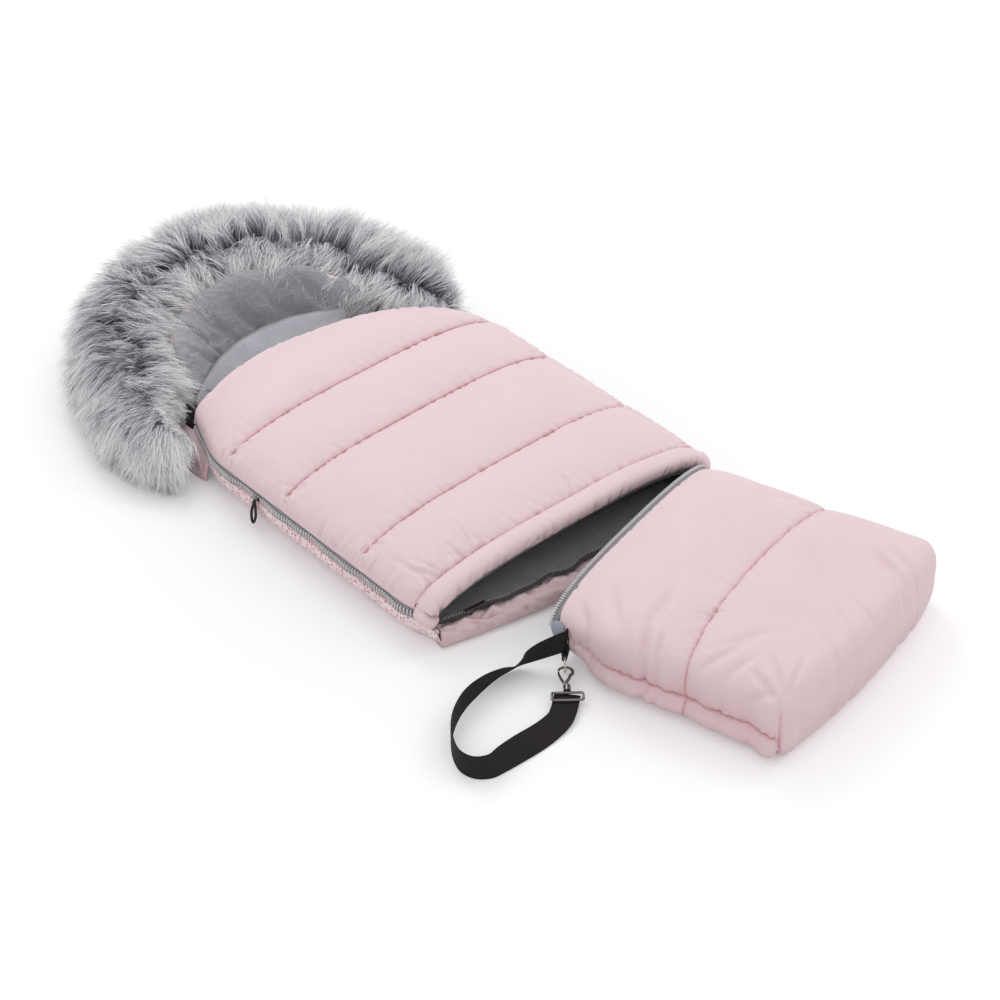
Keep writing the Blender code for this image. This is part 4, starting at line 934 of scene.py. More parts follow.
# %% Roll the lip
LIP_ROWS = 280
LIP_AROUND = 48
LIP_RADIUS = 0.0115
lip_centres = lip_line(np.linspace(-1, 1, LIP_ROWS))
lip_sections = np.repeat(rounded(LIP_DEPTH + 0.003, LIP_HEIGHT, LIP_AROUND, 2.5)[None], LIP_ROWS, axis=0)
lip_swell = np.sin(np.linspace(0.06, 1.0, LIP_ROWS) * math.pi)[:, None]
lip_sections[..., 0] *= 1 + 0.62 * lip_swell * (lip_sections[..., 0] > 0)
lip_sections[..., 0] += 0.0020 * np.clip(-lip_sections[..., 1] / LIP_HEIGHT * 2, 0, 1)
lip_points = tube(lip_centres, lip_sections)
lip_along, _, lip_plan = roll_plan(lip_centres, LIP_AROUND, LIP_RADIUS)
lip_relief = np.zeros(lip_points.shape[:2])
folds = np.random.default_rng(8)
for _ in range(62):
    place = lip_along[-1] * folds.uniform(0.0, 1.0) ** 1.25
    start = (place, math.pi * 0.48 * LIP_RADIUS)
    reach = folds.uniform(0.018, 0.048)
    lean = folds.normal(0.85, 0.35)
    for turn_way in (-1, 1):
        tip = (place + reach * math.sin(lean), start[1] + turn_way * reach * math.cos(lean) * 0.8)
        lip_relief += wrinkle(lip_plan, start, tip, folds.uniform(0.0034, 0.0062),
                              folds.uniform(0.0014, 0.0040), sewn=False)
lip_relief += 0.0010 * uneven(lip_points, 0.040, 4)
lip_points = pressed(lip_points, lip_centres, lip_relief)
lip_points[..., 2] = np.maximum(lip_points[..., 2], 0.0)
# The whole lip is mixed a tenth of the way to the seam coral: painted warm shade, as the lip lies under the
# bag and the rim.
foot_lip = cloth("foot_lip", capped(lip_points, lip_centres, 0.1), ["pink_shell"], 0.10)
settle(foot_lip, "muff_base", ["mouth_lip"])
print("lip faces", len(foot_lip.data.polygons))

# %% [markdown]
# ## Back panel, its lining and the side walls
# The back panel is a flat quilted pad that the muff lies on. A fleece covers it inside. Along
# both sides a wall of dotted spacer mesh stands up to the zip; it bellies out a little and
# gathers where the seam allowance is short.

# %% Back panel


def panel_plan(columns, rows, inset):
    """Plan of the back panel as x and y, the foot edge following the lip."""
    u = np.linspace(-1, 1, columns)[None]
    v = np.linspace(0, 1, rows)[:, None]
    foot = lip_line(u[0])[:, 1][None] + LIP_DEPTH / 2 + inset
    y = foot + (HEAD_Y - inset - foot) * v
    half = base_half_width(y) - 0.006 - inset
    return u * half, y, np.broadcast_to(u, y.shape), np.broadcast_to(v, y.shape)


def closed_pad(name, top, bottom, finish_name, marks=None):
    """A pad from two sheets of the same size, joined round the edge."""
    ring = np.concatenate([top, bottom[:, ::-1]], axis=1)
    middles = [(top[row] + bottom[row]) / 2 for row in (0, -1)]
    first, last = (np.concatenate([middle, middle[::-1]])[None] for middle in middles)
    seam = 0.0
    if marks is not None:
        both = np.concatenate([marks, marks[:, ::-1]], axis=1)
        seam = np.concatenate([both[:1], both, both[-1:]])
    return cloth(name, np.concatenate([first, ring, last]), [finish_name], seam)


panel_x, panel_y, panel_u, panel_v = panel_plan(70, 90, 0.0)
round_edge = (np.clip((1 - np.abs(panel_u)) / 0.04, 0, 1) * np.clip(panel_v / 0.02, 0, 1)
              * np.clip((1 - panel_v) / 0.02, 0, 1)) ** 0.5
stitch = sum(np.exp(-((panel_y - cross_seam(d, panel_u)) / 0.005) ** 2)
             for d in (FOLD_SEAM, MIDDLE_SEAM, HEAD_SEAM))
panel_bottom = np.stack([panel_x, panel_y, 0.0020 * stitch * round_edge + 0.0050 * (1 - round_edge)], axis=-1)
panel_top = np.stack([panel_x, panel_y, PAD_THICKNESS - 0.0050 * (1 - round_edge)], axis=-1)
# Seam mark along the panel's stitch lines: painted shade where the stitching pulls the pad in.
back_panel = closed_pad("back_panel", panel_top, panel_bottom, "pink_shell", np.clip(stitch, 0, 1) ** 4 * 0.8)
settle(back_panel, "muff_base", ["base_shell"])
print("back panel faces", len(back_panel.data.polygons))

# %% Fleece on the back panel
fleece_x, fleece_y, fleece_u, _ = panel_plan(120, 150, 0.0005)
fleece_top = np.stack([fleece_x, fleece_y, np.full(fleece_x.shape, PAD_THICKNESS + 0.0030)], axis=-1)
fleece_top[..., 2] += 0.0014 * uneven(fleece_top, 0.045, 6) + 0.0005 * uneven(fleece_top, 0.012, 7)
fleece_top[..., 2] -= 0.0016 * sum(np.exp(-((fleece_y - cross_seam(d, fleece_u)) / 0.006) ** 2)
                                   for d in (FOLD_SEAM, MIDDLE_SEAM))
fleece_bottom = fleece_top.copy()
fleece_bottom[..., 2] = PAD_THICKNESS + 0.0003
back_fleece = closed_pad("back_fleece", fleece_top, fleece_bottom, "grey_fleece")
settle(back_fleece, "muff_base", ["base_lining"])
print("fleece faces", len(back_fleece.data.polygons))

# %% Side walls
BAND_WALL = 0.0035
WALL_ROWS = 300
WALL_COLUMNS = 22


def side_wall(name, side, node):
    """A bellied wall of dotted mesh with a fleece face inside, from the floor to the zip tape."""
    y = np.linspace(MOUTH_Y + 0.002, HEAD_Y - 0.001, WALL_ROWS)[:, None]
    low, high = base_half_width(y), zip_half_width(y)
    head = np.clip((y - (HEAD_Y - ZIP_HEAD_MARGIN)) / ZIP_HEAD_MARGIN, 0, None)
    top = zip_height(y) - TAPE_WIDTH / 2 - head * (ZIP_HEIGHT - PAD_THICKNESS) * 0.45
    up = np.linspace(0, 1, WALL_COLUMNS)[None]
    belly = np.sin(math.pi * np.minimum(up, 0.92)) * SIDE_BULGE * 0.50
    outer = np.stack([low - 0.002 * (1 - up) ** 4 + (high - low) * up + belly, y + 0 * up, top * up], axis=-1)
    spots = outer[..., 1:].copy()
    top_trace, foot_trace = np.concatenate([y, top], axis=1), np.concatenate([y, 0 * y], axis=1)
    relief = gathers(spots, top_trace, 100, 0.022, 0.0030, 0.0020, 20 + side, 0.5)
    relief += gathers(spots, top_trace[:90], 22, 0.034, 0.0034, 0.0030, 25 + side, 0.3)
    relief += gathers(spots, foot_trace, 60, 0.014, 0.0036, 0.0012, 30 + side, 0.5)
    outer[..., 0] += relief + 0.0007 * uneven(outer, 0.030, 9 + side)
    inner = outer[:, ::-1].copy()
    inner[..., 0] -= BAND_WALL
    inner[:, 0, 2] += 0.0004
    ring = np.concatenate([outer, inner[:, ::3]], axis=1)
    ring[..., 0] *= side
    ring[..., 2] = np.maximum(ring[..., 2], 0.0)
    ring = capped(ring, ring.mean(axis=1), 0.1)
    mark = np.zeros(ring.shape[:2])
    # Painted shade: the top of the mesh wall, under the zip and the cover's edge, is mixed towards the seam
    # coral.
    mark[:, WALL_COLUMNS - 3:WALL_COLUMNS] = 0.55
    is_inside = (np.arange(ring.shape[1]) >= WALL_COLUMNS).astype(int)[None]
    wall = cloth(name, ring, ["pink_mesh", "grey_fleece"], mark, face_finish=is_inside)
    return settle(wall, "muff_base", [node])


for side, label in ((-1, "near"), (1, "far")):
    side_wall(label + "_mesh_wall", side, label + "_side_band")
print("side walls made")

# %% [markdown]
# ## Foot bag
# The bag is drawn closed against the muff and then swung open about the far end of its zip. It
# is a stuffed box: a top panel with one stitch line across it wraps down to a side seam at
# about a third of the height, and the corner at its near end is boxed, so a short upright seam
# stands there with drag folds running away from it.

# %% Outline of the bag
HINGE = (0.2144, -0.268)
BAG_SWING = math.radians(16.5)
BAG_MOUTH_WIDTH = 0.352
BAG_WIDTH = 0.362
BAG_DEEP = 0.334
BAG_TALL = 0.104
BAG_MOUTH_TALL = 0.078
BAG_SET_IN = 0.018
BAG_GAP = 0.004
END_ROUND = 0.024
SIDE_SEAM = 0.036


def swung(points):
    """From the bag's own directions to the open bag."""
    c, s = math.cos(BAG_SWING), math.sin(BAG_SWING)
    return np.stack([HINGE[0] + points[..., 0] * c - points[..., 1] * s,
                     HINGE[1] + points[..., 0] * s + points[..., 1] * c, points[..., 2]], axis=-1)


def bag_size(t):
    """Half width, middle, height and boxiness at share t of the bag's length."""
    ease = eased(min(1.0, t / 0.3))
    half = (BAG_MOUTH_WIDTH + (BAG_WIDTH - BAG_MOUTH_WIDTH) * ease) / 2
    middle = -BAG_MOUTH_WIDTH / 2 * (1 - ease) - (BAG_SET_IN + BAG_WIDTH / 2) * ease
    tall = BAG_MOUTH_TALL + (BAG_TALL - BAG_MOUTH_TALL) * math.sin(math.pi / 2 * min(1.0, t / 0.30))
    return half, middle, tall, 2.8 + 0.9 * min(1.0, t / 0.5)


def even_outline(width, height, count, power):
    """A rounded outline with its points at even distances."""
    dense = rounded(width, max(height, 1e-5), 3000, power)
    closed = np.concatenate([dense, dense[:1]])
    run = run_along(closed)
    spots = np.linspace(0, run[-1], count, endpoint=False)
    return np.stack([np.interp(spots, run, closed[:, k]) for k in (0, 1)], axis=-1)


def bag_row(y, inset, count):
    """One ring of the bag at depth y, drawn in by inset."""
    t = min(1.0, -y / BAG_DEEP)
    half, middle, tall, power = bag_size(t)
    outline = even_outline(2 * (half - inset), tall - 2 * inset, count, power)
    boxier = even_outline(2 * (half - inset), tall - 2 * inset, count, 4.0 + 3.0 * min(1.0, t / 0.3))
    outline = np.where(outline[:, 1:] >= 0, outline, boxier)
    low = np.clip(-outline[:, 1] / (tall / 2), 0, 1)
    wide = np.abs(outline[:, 0] / half)
    recess = 0.040 * max(0.0, 1 - t / 0.22) * low ** 0.5 * (1 - 0.92 * wide ** 4)
    x = middle + outline[:, 0]
    near_slant = 0.024 * np.clip((-0.20 - x) / 0.175, 0, None) ** 2
    slant = (near_slant + 0.011 * np.clip((x + 0.13) / 0.11, 0, None) ** 2) * t ** 3
    place = np.full(count, y) - recess + slant
    return np.stack([x, place, np.maximum(tall / 2 + outline[:, 1], inset)], axis=-1)


def shut(ring):
    """The ring pressed flat at half the bag's height, which closes its end."""
    return ring * [1, 1, 0] + [0, 0, BAG_TALL / 2]


BAG_RING = 320
END_STEPS = 14
CAP_STEPS = 24
body = -BAG_GAP - (BAG_DEEP - END_ROUND - BAG_GAP) * np.linspace(0, 1, 150)
bag_rows = [bag_row(y, 0.0, BAG_RING) for y in body]
for n in range(1, END_STEPS + 1):
    turn = math.pi / 2 * n / END_STEPS
    depth, drawn_in = BAG_DEEP - END_ROUND * (1 - math.sin(turn)), END_ROUND * (1 - math.cos(turn))
    bag_rows.append(bag_row(-depth, drawn_in, BAG_RING))
for n in range(1, CAP_STEPS + 1):
    share_in = n / CAP_STEPS
    drawn_in = END_ROUND + (BAG_TALL / 2 - END_ROUND - 0.0004) * share_in
    bag_rows.append(bag_row(-BAG_DEEP - 0.004 * math.sin(math.pi / 2 * share_in), drawn_in, BAG_RING))
bag_points = np.array(bag_rows + [shut(bag_rows[-1])])
print("bag sheet", bag_points.shape)

# %% Sew the bag: seams, boxed corner and drag folds
CORNER_HEART = (-0.350, -0.279)
BAG_HEART = (-0.2, -0.17, 0.045)


def cross_stitch(x):
    """The bag's stitch line across its top, as depth y at each x."""
    return -0.1685 - 0.013 * ((x + 0.18) / 0.17) ** 2


bag_x, bag_y, bag_z = (bag_points[..., k] for k in range(3))
bag_plan = bag_points[..., :2]
cross_line = cross_stitch(bag_x)
cross_off = np.abs(bag_y - cross_line)
on_body = (bag_y > -0.30).astype(float)
top_side = np.clip((bag_z - 0.004) / 0.01, 0, 1)
bag_relief = -(0.0032 * np.exp(-cross_off / 0.0045) + 0.0030 * np.exp(-(cross_off / 0.026) ** 2)) * top_side
side_face = np.clip((np.abs(bag_x + 0.205) - 0.150) / 0.015, 0, 1) * on_body
side_off = np.abs(bag_z - SIDE_SEAM)
bag_relief -= (0.0032 * np.exp(-side_off / 0.003) + 0.0034 * np.exp(-(side_off / 0.011) ** 2)) * side_face
bag_relief += 0.0030 * np.exp(-((bag_z - 0.016) / 0.011) ** 2) * side_face
DRAG_FOLDS = (
    (-0.386, -0.136, -0.345, -0.122, 0.0075, 0.0052), (-0.352, -0.124, -0.285, -0.119, 0.0085, 0.0036),
    (-0.386, -0.152, -0.350, -0.142, 0.0055, 0.0034), (-0.378, -0.200, -0.315, -0.236, 0.0070, 0.0026),
    (-0.384, -0.252, -0.368, -0.292, 0.0050, 0.0030), (-0.350, -0.250, -0.374, -0.300, 0.0052, 0.0030),
    (-0.322, -0.262, -0.370, -0.303, 0.0056, 0.0032), (-0.310, -0.296, -0.366, -0.306, 0.0055, 0.0034),
    (-0.384, -0.228, -0.330, -0.252, 0.0070, 0.0020), (-0.345, -0.205, -0.285, -0.250, 0.0080, 0.0016),
    (-0.255, -0.285, -0.296, -0.333, 0.0060, 0.0026), (-0.214, -0.285, -0.262, -0.336, 0.0065, 0.0026),
    (-0.190, -0.285, -0.214, -0.333, 0.0055, 0.0022), (-0.096, -0.270, -0.138, -0.336, 0.0070, 0.0044),
    (-0.122, -0.292, -0.146, -0.338, 0.0055, 0.0034), (-0.078, -0.282, -0.112, -0.337, 0.0060, 0.0034),
    (-0.060, -0.230, -0.120, -0.300, 0.0100, 0.0022), (-0.130, -0.205, -0.190, -0.268, 0.0100, 0.0018),
    (-0.300, -0.040, -0.372, -0.100, 0.0100, 0.0022), (-0.330, -0.022, -0.374, -0.060, 0.0070, 0.0022),
    (-0.190, -0.050, -0.270, -0.125, 0.0140, 0.0016), (-0.060, -0.120, -0.040, -0.190, 0.0080, 0.0020),
)
for x0, y0, x1, y1, wide, deep in DRAG_FOLDS:
    bag_relief += wrinkle(bag_plan, (x0, y0), (x1, y1), wide, deep * 1.3, sewn=False) * top_side
seam_x = np.linspace(-0.372, -0.040, 40)
cross_trace = np.stack([seam_x, cross_stitch(seam_x)], axis=-1)
bag_relief += gathers(bag_plan, cross_trace, 90, 0.024, 0.0036, 0.0015, 41) * top_side
side_plan = np.stack([bag_y, bag_z], axis=-1)
side_trace = np.stack([np.linspace(-0.01, -0.29, 40), np.full(40, SIDE_SEAM)], axis=-1)
for end, seed in ((-1, 42), (1, 43)):
    this_side = np.clip(end * (bag_x + 0.205) / 0.02 - 6, 0, 1)
    bag_relief += gathers(side_plan, side_trace, 110, 0.022, 0.0034, 0.0019, seed, 0.55) * this_side
mouth_trace = np.stack([np.linspace(-0.352, 0, 30), np.full(30, -0.006)], axis=-1)
bag_relief += gathers(bag_plan, mouth_trace, 70, 0.022, 0.0034, 0.0012, 44, 0.5) * top_side
past_x, past_y = CORNER_HEART[0] - bag_x, CORNER_HEART[1] - bag_y
upright = np.abs(past_x - past_y) / math.sqrt(2) + 0.5 * np.clip(0.012 - past_x - past_y, 0, None)
corner_rise = np.clip(1.6 - bag_z / 0.055, 0, 1) * np.clip((past_x + past_y) / 0.02, 0, 1)
corner_push = 0.0070 * np.exp(-(upright / 0.018) ** 1.4) * corner_rise
corner_fold = 0.0030 * np.exp(-((upright - 0.013) / 0.007) ** 2) - 0.0052 * np.exp(-upright / 0.0034)
bag_relief += corner_fold * corner_rise
bag_relief += 0.0016 * uneven(bag_points, 0.085, 12) + 0.0005 * uneven(bag_points, 0.022, 13)
bag_out = outward_normals(bag_points, np.array(BAG_HEART))
mouth_hold = np.clip((-BAG_GAP - bag_y) / 0.012, 0, 1)[..., None]
bag_shaped = bag_points + bag_out * bag_relief[..., None] * mouth_hold
bag_shaped[..., 0] -= corner_push * 0.75
bag_shaped[..., 1] -= corner_push * 0.75
bag_shaped[..., 2] += corner_push * np.clip((bag_z - 0.05) / 0.04, 0, 1) * 0.6
bag_shaped[..., 2] = np.maximum(bag_shaped[..., 2], 0.0)
# Seam mark of the bag: thin coral lines at its seams, partly thread and partly painted crease shade, painted
# shade beside them, and painted warm shade low on its sides.
bag_seam_and_shade = (np.exp(-(cross_off / 0.0010) ** 2) * top_side + np.exp(-(side_off / 0.0011) ** 2) * side_face
            + np.exp(-(upright / 0.0016) ** 2) * corner_rise)
bag_seam_and_shade += 0.09 * side_face * np.clip((0.075 - bag_z) / 0.03, 0, 1)
bag_seam_and_shade += 0.10 * (np.exp(-(cross_off / 0.006) ** 2) * top_side
                    + np.exp(-(side_off / 0.005) ** 2) * side_face)
print("bag sewn, deepest fold", round(float(bag_relief.min()) * 1000, 1), "mm")

# %% Line the bag and swing it open
BAG_WALL = 0.0135
inner_rows = [bag_row(y, BAG_WALL, BAG_RING) for y in np.linspace(-BAG_GAP - 0.004, -BAG_DEEP + 0.016, 40)]
inner_rows += [bag_row(-BAG_DEEP + 0.012, BAG_WALL + (BAG_TALL / 2 - BAG_WALL - 0.0006) * n / 8, BAG_RING)
               for n in range(1, 9)]
inner_points = np.array(inner_rows + [shut(inner_rows[-1])])[::-1]
whole = swung(np.concatenate([inner_points, bag_shaped]))
whole_seam_and_shade = np.concatenate([np.zeros(inner_points.shape[:2]), np.clip(bag_seam_and_shade, 0, 1) * 0.85])
inside = (np.arange(len(whole) - 1) < len(inner_points)).astype(int)[:, None]
foot_bag = cloth("foot_bag", whole, ["pink_shell", "grey_fleece"], whole_seam_and_shade, face_finish=inside)
settle(foot_bag, "foot_bag", ["foot_bag_shell", "foot_bag_lining"])
print("bag faces", len(foot_bag.data.polygons))

# %% [markdown]
# ## Repeats with Geometry Nodes
# Zip teeth, coils and stitches are one small shape repeated along a line. The line's points
# carry where each copy looks (ahead) and which way is up for it (rise); one Geometry Nodes
# group puts the copies there and makes them real.

# %% The repeat group


def shape_group(name, inputs, made):
    """An empty Geometry Nodes group with its inputs and one output."""
    group = bpy.data.node_groups.new(name, "GeometryNodeTree")
    for label, kind in inputs:
        group.interface.new_socket(name=label, in_out="INPUT", socket_type="NodeSocket" + kind)
    group.interface.new_socket(name=made, in_out="OUTPUT", socket_type="NodeSocketGeometry")
    return group, group.nodes.new("NodeGroupInput"), group.nodes.new("NodeGroupOutput")


def read_mark(group, mark, kind="FLOAT"):
    """What a named mark of the points says."""
    read = group.nodes.new("GeometryNodeInputNamedAttribute")
    read.data_type = kind
    read.inputs["Name"].default_value = mark
    return read.outputs[0]


def finish_off(group, entry, leave, shape):
    """Make a shape real, give it its finish and hand it out."""
    real = group.nodes.new("GeometryNodeRealizeInstances")
    coat = group.nodes.new("GeometryNodeSetMaterial")
    group.links.new(shape, real.inputs[0])
    group.links.new(real.outputs[0], coat.inputs["Geometry"])
    group.links.new(entry.outputs["Finish"], coat.inputs["Material"])
    group.links.new(coat.outputs[0], leave.inputs[0])
    return group


def make_repeat_group():
    """Copies of one shape on points, turned by their ahead and rise."""
    inputs = (("Places", "Geometry"), ("Shape", "Object"), ("Finish", "Material"))
    group, entry, leave = shape_group("repeat_along", inputs, "Copies")
    shape = group.nodes.new("GeometryNodeObjectInfo")
    copies = group.nodes.new("GeometryNodeInstanceOnPoints")
    group.links.new(entry.outputs["Shape"], shape.inputs["Object"])
    group.links.new(entry.outputs["Places"], copies.inputs["Points"])
    group.links.new(shape.outputs["Geometry"], copies.inputs["Instance"])
    turned = None
    for axis, pivot, mark in (("X", "AUTO", "ahead"), ("Z", "X", "rise")):
        turn = group.nodes.new("FunctionNodeAlignRotationToVector")
        turn.axis = axis
        turn.pivot_axis = pivot
        group.links.new(read_mark(group, mark, "FLOAT_VECTOR"), turn.inputs["Vector"])
        if turned:
            group.links.new(turned, turn.inputs["Rotation"])
        turned = turn.outputs[0]
    group.links.new(turned, copies.inputs["Rotation"])
    return finish_off(group, entry, leave, copies.outputs[0])


REPEAT = make_repeat_group()
UPWARDS = (0.0, 0.0, 1.0)


def made_with(group, mesh, name, **inputs):
    """A plain new object: the mesh as a Geometry Nodes group turns it out."""
    holder = add_object(mesh.name, mesh)
    modifier = holder.modifiers.new("Make", "NODES")
    modifier.node_group = group
    for socket in group.interface.items_tree:
        if socket.in_out == "INPUT" and socket.name in inputs:
            modifier[socket.identifier] = inputs[socket.name]
    graph = bpy.context.evaluated_depsgraph_get()
    graph.update()
    made = bpy.data.meshes.new_from_object(holder.evaluated_get(graph), preserve_all_data_layers=True,
                                           depsgraph=graph)
    bpy.data.objects.remove(holder, do_unlink=True)
    return add_object(name, made)


def repeated(name, places, ahead, rise, shape, finish_name):
    """Copies of shape at places, as one plain mesh."""
    mesh = bpy.data.meshes.new(name + "_places")
    mesh.from_pydata(np.asarray(places, float), [], [])
    for mark, values in (("ahead", ahead), ("rise", rise)):
        layer = mesh.attributes.new(mark, "FLOAT_VECTOR", "POINT")
        every = np.ascontiguousarray(np.broadcast_to(values, (len(places), 3)), np.float32)
        layer.data.foreach_set("vector", every.reshape(-1))
    return made_with(REPEAT, mesh, name, Shape=shape, Finish=FINISHES[finish_name])


def softened_box(name, size, bevel):
    """A box with its edges taken off, kept out of the picture, to be repeated."""
    bm = bmesh.new()
    bmesh.ops.create_cube(bm, size=1.0)
    bmesh.ops.scale(bm, vec=size, verts=bm.verts)
    bmesh.ops.bevel(bm, geom=list(bm.edges), offset=bevel, segments=1, affect="EDGES")
    mesh = bpy.data.meshes.new(name)
    bm.to_mesh(mesh)
    bm.free()
    item = add_object(name, mesh)
    item.hide_render = True
    item.hide_viewport = True
    return item


coil_shape = softened_box("one_coil", (0.0022, 0.0032, 0.0036), 0.0006)
lip_tooth_shape = softened_box("one_lip_tooth", (0.0016, 0.0044, 0.0032), 0.0005)
tooth_shape = softened_box("one_tooth", (0.0018, 0.0026, 0.0046), 0.0005)
stitch_shape = softened_box("one_stitch", (0.0024, 0.0006, 0.0005), 0.0002)


def paced(line, pitch):
    """Points every pitch along a line, with the line's heading there."""
    line = np.asarray(line, float)
    run = run_along(line)
    spots = np.arange(pitch / 2, run[-1], pitch)
    earlier, places, later = (np.stack([np.interp(spots + shift, run, line[:, k]) for k in range(3)], axis=-1)
                              for shift in (-pitch / 4, 0, pitch / 4))
    return places, unit(later - earlier)


print("repeat group ready")

# %% [markdown]
# ## Side zips
# A side zip is two grey woven tapes, each with a coil along its meeting edge. It stands almost
# upright under the cover's edge and waves a little in and out, because the channels push on it.
# The lower tape is sewn to the mesh wall, the upper one to the cover.

# %% Tapes and coils of the side zips


def zip_line(side, start, end, count, height, lean=0.0):
    """A line along a side zip; lean moves it outwards."""
    y = np.linspace(start, end, count)
    wave = (0.0013 * np.sin(2 * math.pi * (y - MOUTH_Y) / 0.118 + side)
            + 0.0008 * np.sin(2 * math.pi * y / 0.047))
    x = zip_half_width(y) + wave + lean
    return np.stack([side * x, y, zip_height(y) + height], axis=-1)


TAPE_ROWS = 220
COIL_PITCH = 0.0046
ZIP_FOOT, ZIP_HEAD = MOUTH_Y + 0.004, HEAD_Y - ZIP_HEAD_MARGIN


def tape_strip(name, side, start, direction):
    """One woven tape, its outer edge towards direction."""
    low = zip_line(side, start, ZIP_HEAD, TAPE_ROWS, direction * 0.0009)
    lean = 0.0010 if direction < 0 else -0.0016
    high = zip_line(side, start, ZIP_HEAD, TAPE_ROWS, direction * 0.0058, lean)
    middle = low * 0.5 + high * 0.5
    thick = np.array([side * 0.0006, 0, 0])
    ring = [low - thick, middle - thick, high - thick, high + thick, middle + thick, low + thick]
    return cloth(name, np.stack(ring, axis=1), ["zip_grey"])


for side, label in ((-1, "near"), (1, "far")):
    lower = tape_strip(label + "_wall_tape", side, ZIP_FOOT, -1)
    settle(lower, "muff_base", [label + "_zip_base_tape"])
    upper = tape_strip(label + "_cover_tape", side, ZIP_FOOT + 0.002, 1)
    settle(upper, "cover", [label + "_zip_foot_tape", label + "_zip_cover_tape"], bend=COVER_BEND)
    for direction, word, mover, bend in ((-1, "wall", "muff_base", None), (1, "cover", "cover", COVER_BEND)):
        coil_line = zip_line(side, ZIP_FOOT + 0.004, ZIP_HEAD - 0.002, 400, direction * 0.0017, 0.0018)
        places, ahead = paced(coil_line, COIL_PITCH)
        coil = repeated(f"{label}_{word}_coil", places, ahead, UPWARDS, coil_shape, "tooth_grey")
        settle(coil, mover, bend=bend)
print("side zips made")

# %% [markdown]
# ## Foot zip
# The zip that joins bag and muff is open in the picture. Its dark half runs in a wavy line
# along the lip, because the lip's padding gathers it; its pale half with chunky moulded teeth
# follows the mouth of the bag and ends in a rounded pale tab. A plain tape is left under the rim.

# %% Dark half on the lip
lip_zip_u = np.linspace(-0.96, 0.96, 500)
lip_zip = lip_line(lip_zip_u)
wavy = np.sin(lip_zip[:, 0] * 78 + 0.6) + 0.6 * np.sin(lip_zip[:, 0] * 131 + 2.0)
lip_zip[:, 1] += LIP_DEPTH * 0.14 + 0.0022 * wavy
lip_zip[:, 2] = LIP_HEIGHT + 0.0022 + 0.0009 * np.sin(lip_zip[:, 0] * 95)
TOOTH_PITCH = 0.0034
lip_tape = cloth("lip_zip_tape", tube(lip_zip, rounded(0.0072, 0.0014, 8, 4.0)), ["zip_dark"])
settle(lip_tape, "muff_base", ["mouth_zip_lip_half"])
places, ahead = paced(lip_zip + np.array([0, 0.0022, 0.0016]), TOOTH_PITCH)
lip_teeth = repeated("lip_zip_teeth", places, ahead, UPWARDS, lip_tooth_shape, "tooth_dark")
settle(lip_teeth, "muff_base")
print("lip zip teeth", len(places))

# %% Tape under the rim
rim_zip = rim_line(np.sin(math.pi / 2 * np.linspace(-1, 1, 260)) * 0.95)
rim_zip[:, 0] *= 0.975
rim_zip[:, 1] -= RIM_DEPTH * 0.14
rim_zip[:, 2] -= RIM_HEIGHT / 2 + 0.0030
rim_tape = cloth("rim_zip_tape", tube(rim_zip, rounded(0.0016, 0.0076, 10, 4.0)), ["zip_grey"])
settle(rim_tape, "muff_base", ["mouth_zip_rim_half"])
print("rim tape made")

# %% Pale half round the bag's mouth
half, middle, tall, power = bag_size(0.0)


def mouth_arc(out, y, count=420):
    """A line round the bag's mouth over its top, out beyond the cloth, at depth y."""
    angle = math.pi * np.linspace(0.985, 0.015, 3000)
    a = np.sign(np.cos(angle)) * np.abs(np.cos(angle)) ** (2 / power) * (half + out)
    b = np.sin(angle) ** (2 / power) * (tall / 2 + out)
    run = np.concatenate([[0], np.cumsum(np.hypot(np.diff(a), np.diff(b)))])
    spots = np.linspace(0, run[-1], count)
    return np.stack([middle + np.interp(spots, run, a), np.full(count, y),
                     tall / 2 + np.interp(spots, run, b)], axis=-1)


inner_edge, outer_edge = mouth_arc(-0.0012, 0.0), mouth_arc(0.0022, 0.0)
ring = np.stack([inner_edge + np.array([0, 0.0002, 0]), inner_edge + np.array([0, -0.0060, 0]),
                 outer_edge + np.array([0, -0.0092, 0]), outer_edge + np.array([0, -0.0046, 0]),
                 outer_edge + np.array([0, 0.0002, 0])], axis=1)
bag_tape = cloth("bag_zip_tape", swung(ring), ["zip_grey"])
settle(bag_tape, "foot_bag", ["foot_bag_zip_half"])
places, ahead = paced(swung(mouth_arc(0.0030, 0.0002)), TOOTH_PITCH)
forward = (-math.sin(BAG_SWING), math.cos(BAG_SWING), 0.0)
bag_teeth = repeated("bag_zip_teeth", places, ahead, forward, tooth_shape, "tooth_grey")
settle(bag_teeth, "foot_bag")
print("foot zip made")

# %% [markdown]
# ## Hood
# The hood is drawn up by a cord into a shallow bowl: a pink shell outside, a plush lining
# inside that falls in soft folds, and at the bottom the rounded top of the smoother back
# lining, sewn down along a curved seam. A narrow pink binding closes the edge under the fur.

# %% Shell and plush lining
HOOD_DEPTH = 0.155
HOOD_HALF_WIDTH = 0.165
HOOD_SHELL = 0.008
HOOD_RISE = 0.066


def hood_plan(u, v):
    """Plan place on the half-oval hood and the share of the way out to its rim."""
    width = np.maximum(0.004, 1 - v * v) ** 0.5
    out = np.minimum(1.0, (u * u * (1 - v * v) + v * v) ** 0.5)
    x = u * HOOD_HALF_WIDTH * width - 0.036 * np.clip(u * width, 0, None) ** 1.5
    return x, HEAD_Y + HOOD_DEPTH * v, out


def hood_under(out, v):
    t = np.clip((out - 0.55) / 0.45, 0, None)
    return HOOD_RISE * (0.55 + 0.45 * np.minimum(1.0, v / 0.35)) * t * t * (3 - 2 * t)


def hood_sheet(columns, rows, height):
    u = np.linspace(-1, 1, columns)[None] + np.zeros((rows, 1))
    v = np.linspace(0, 1, rows)[:, None] + np.zeros((1, columns))
    x, y, out = hood_plan(u, v)
    return np.stack([x, y, hood_under(out, v) + height], axis=-1), u, v, out


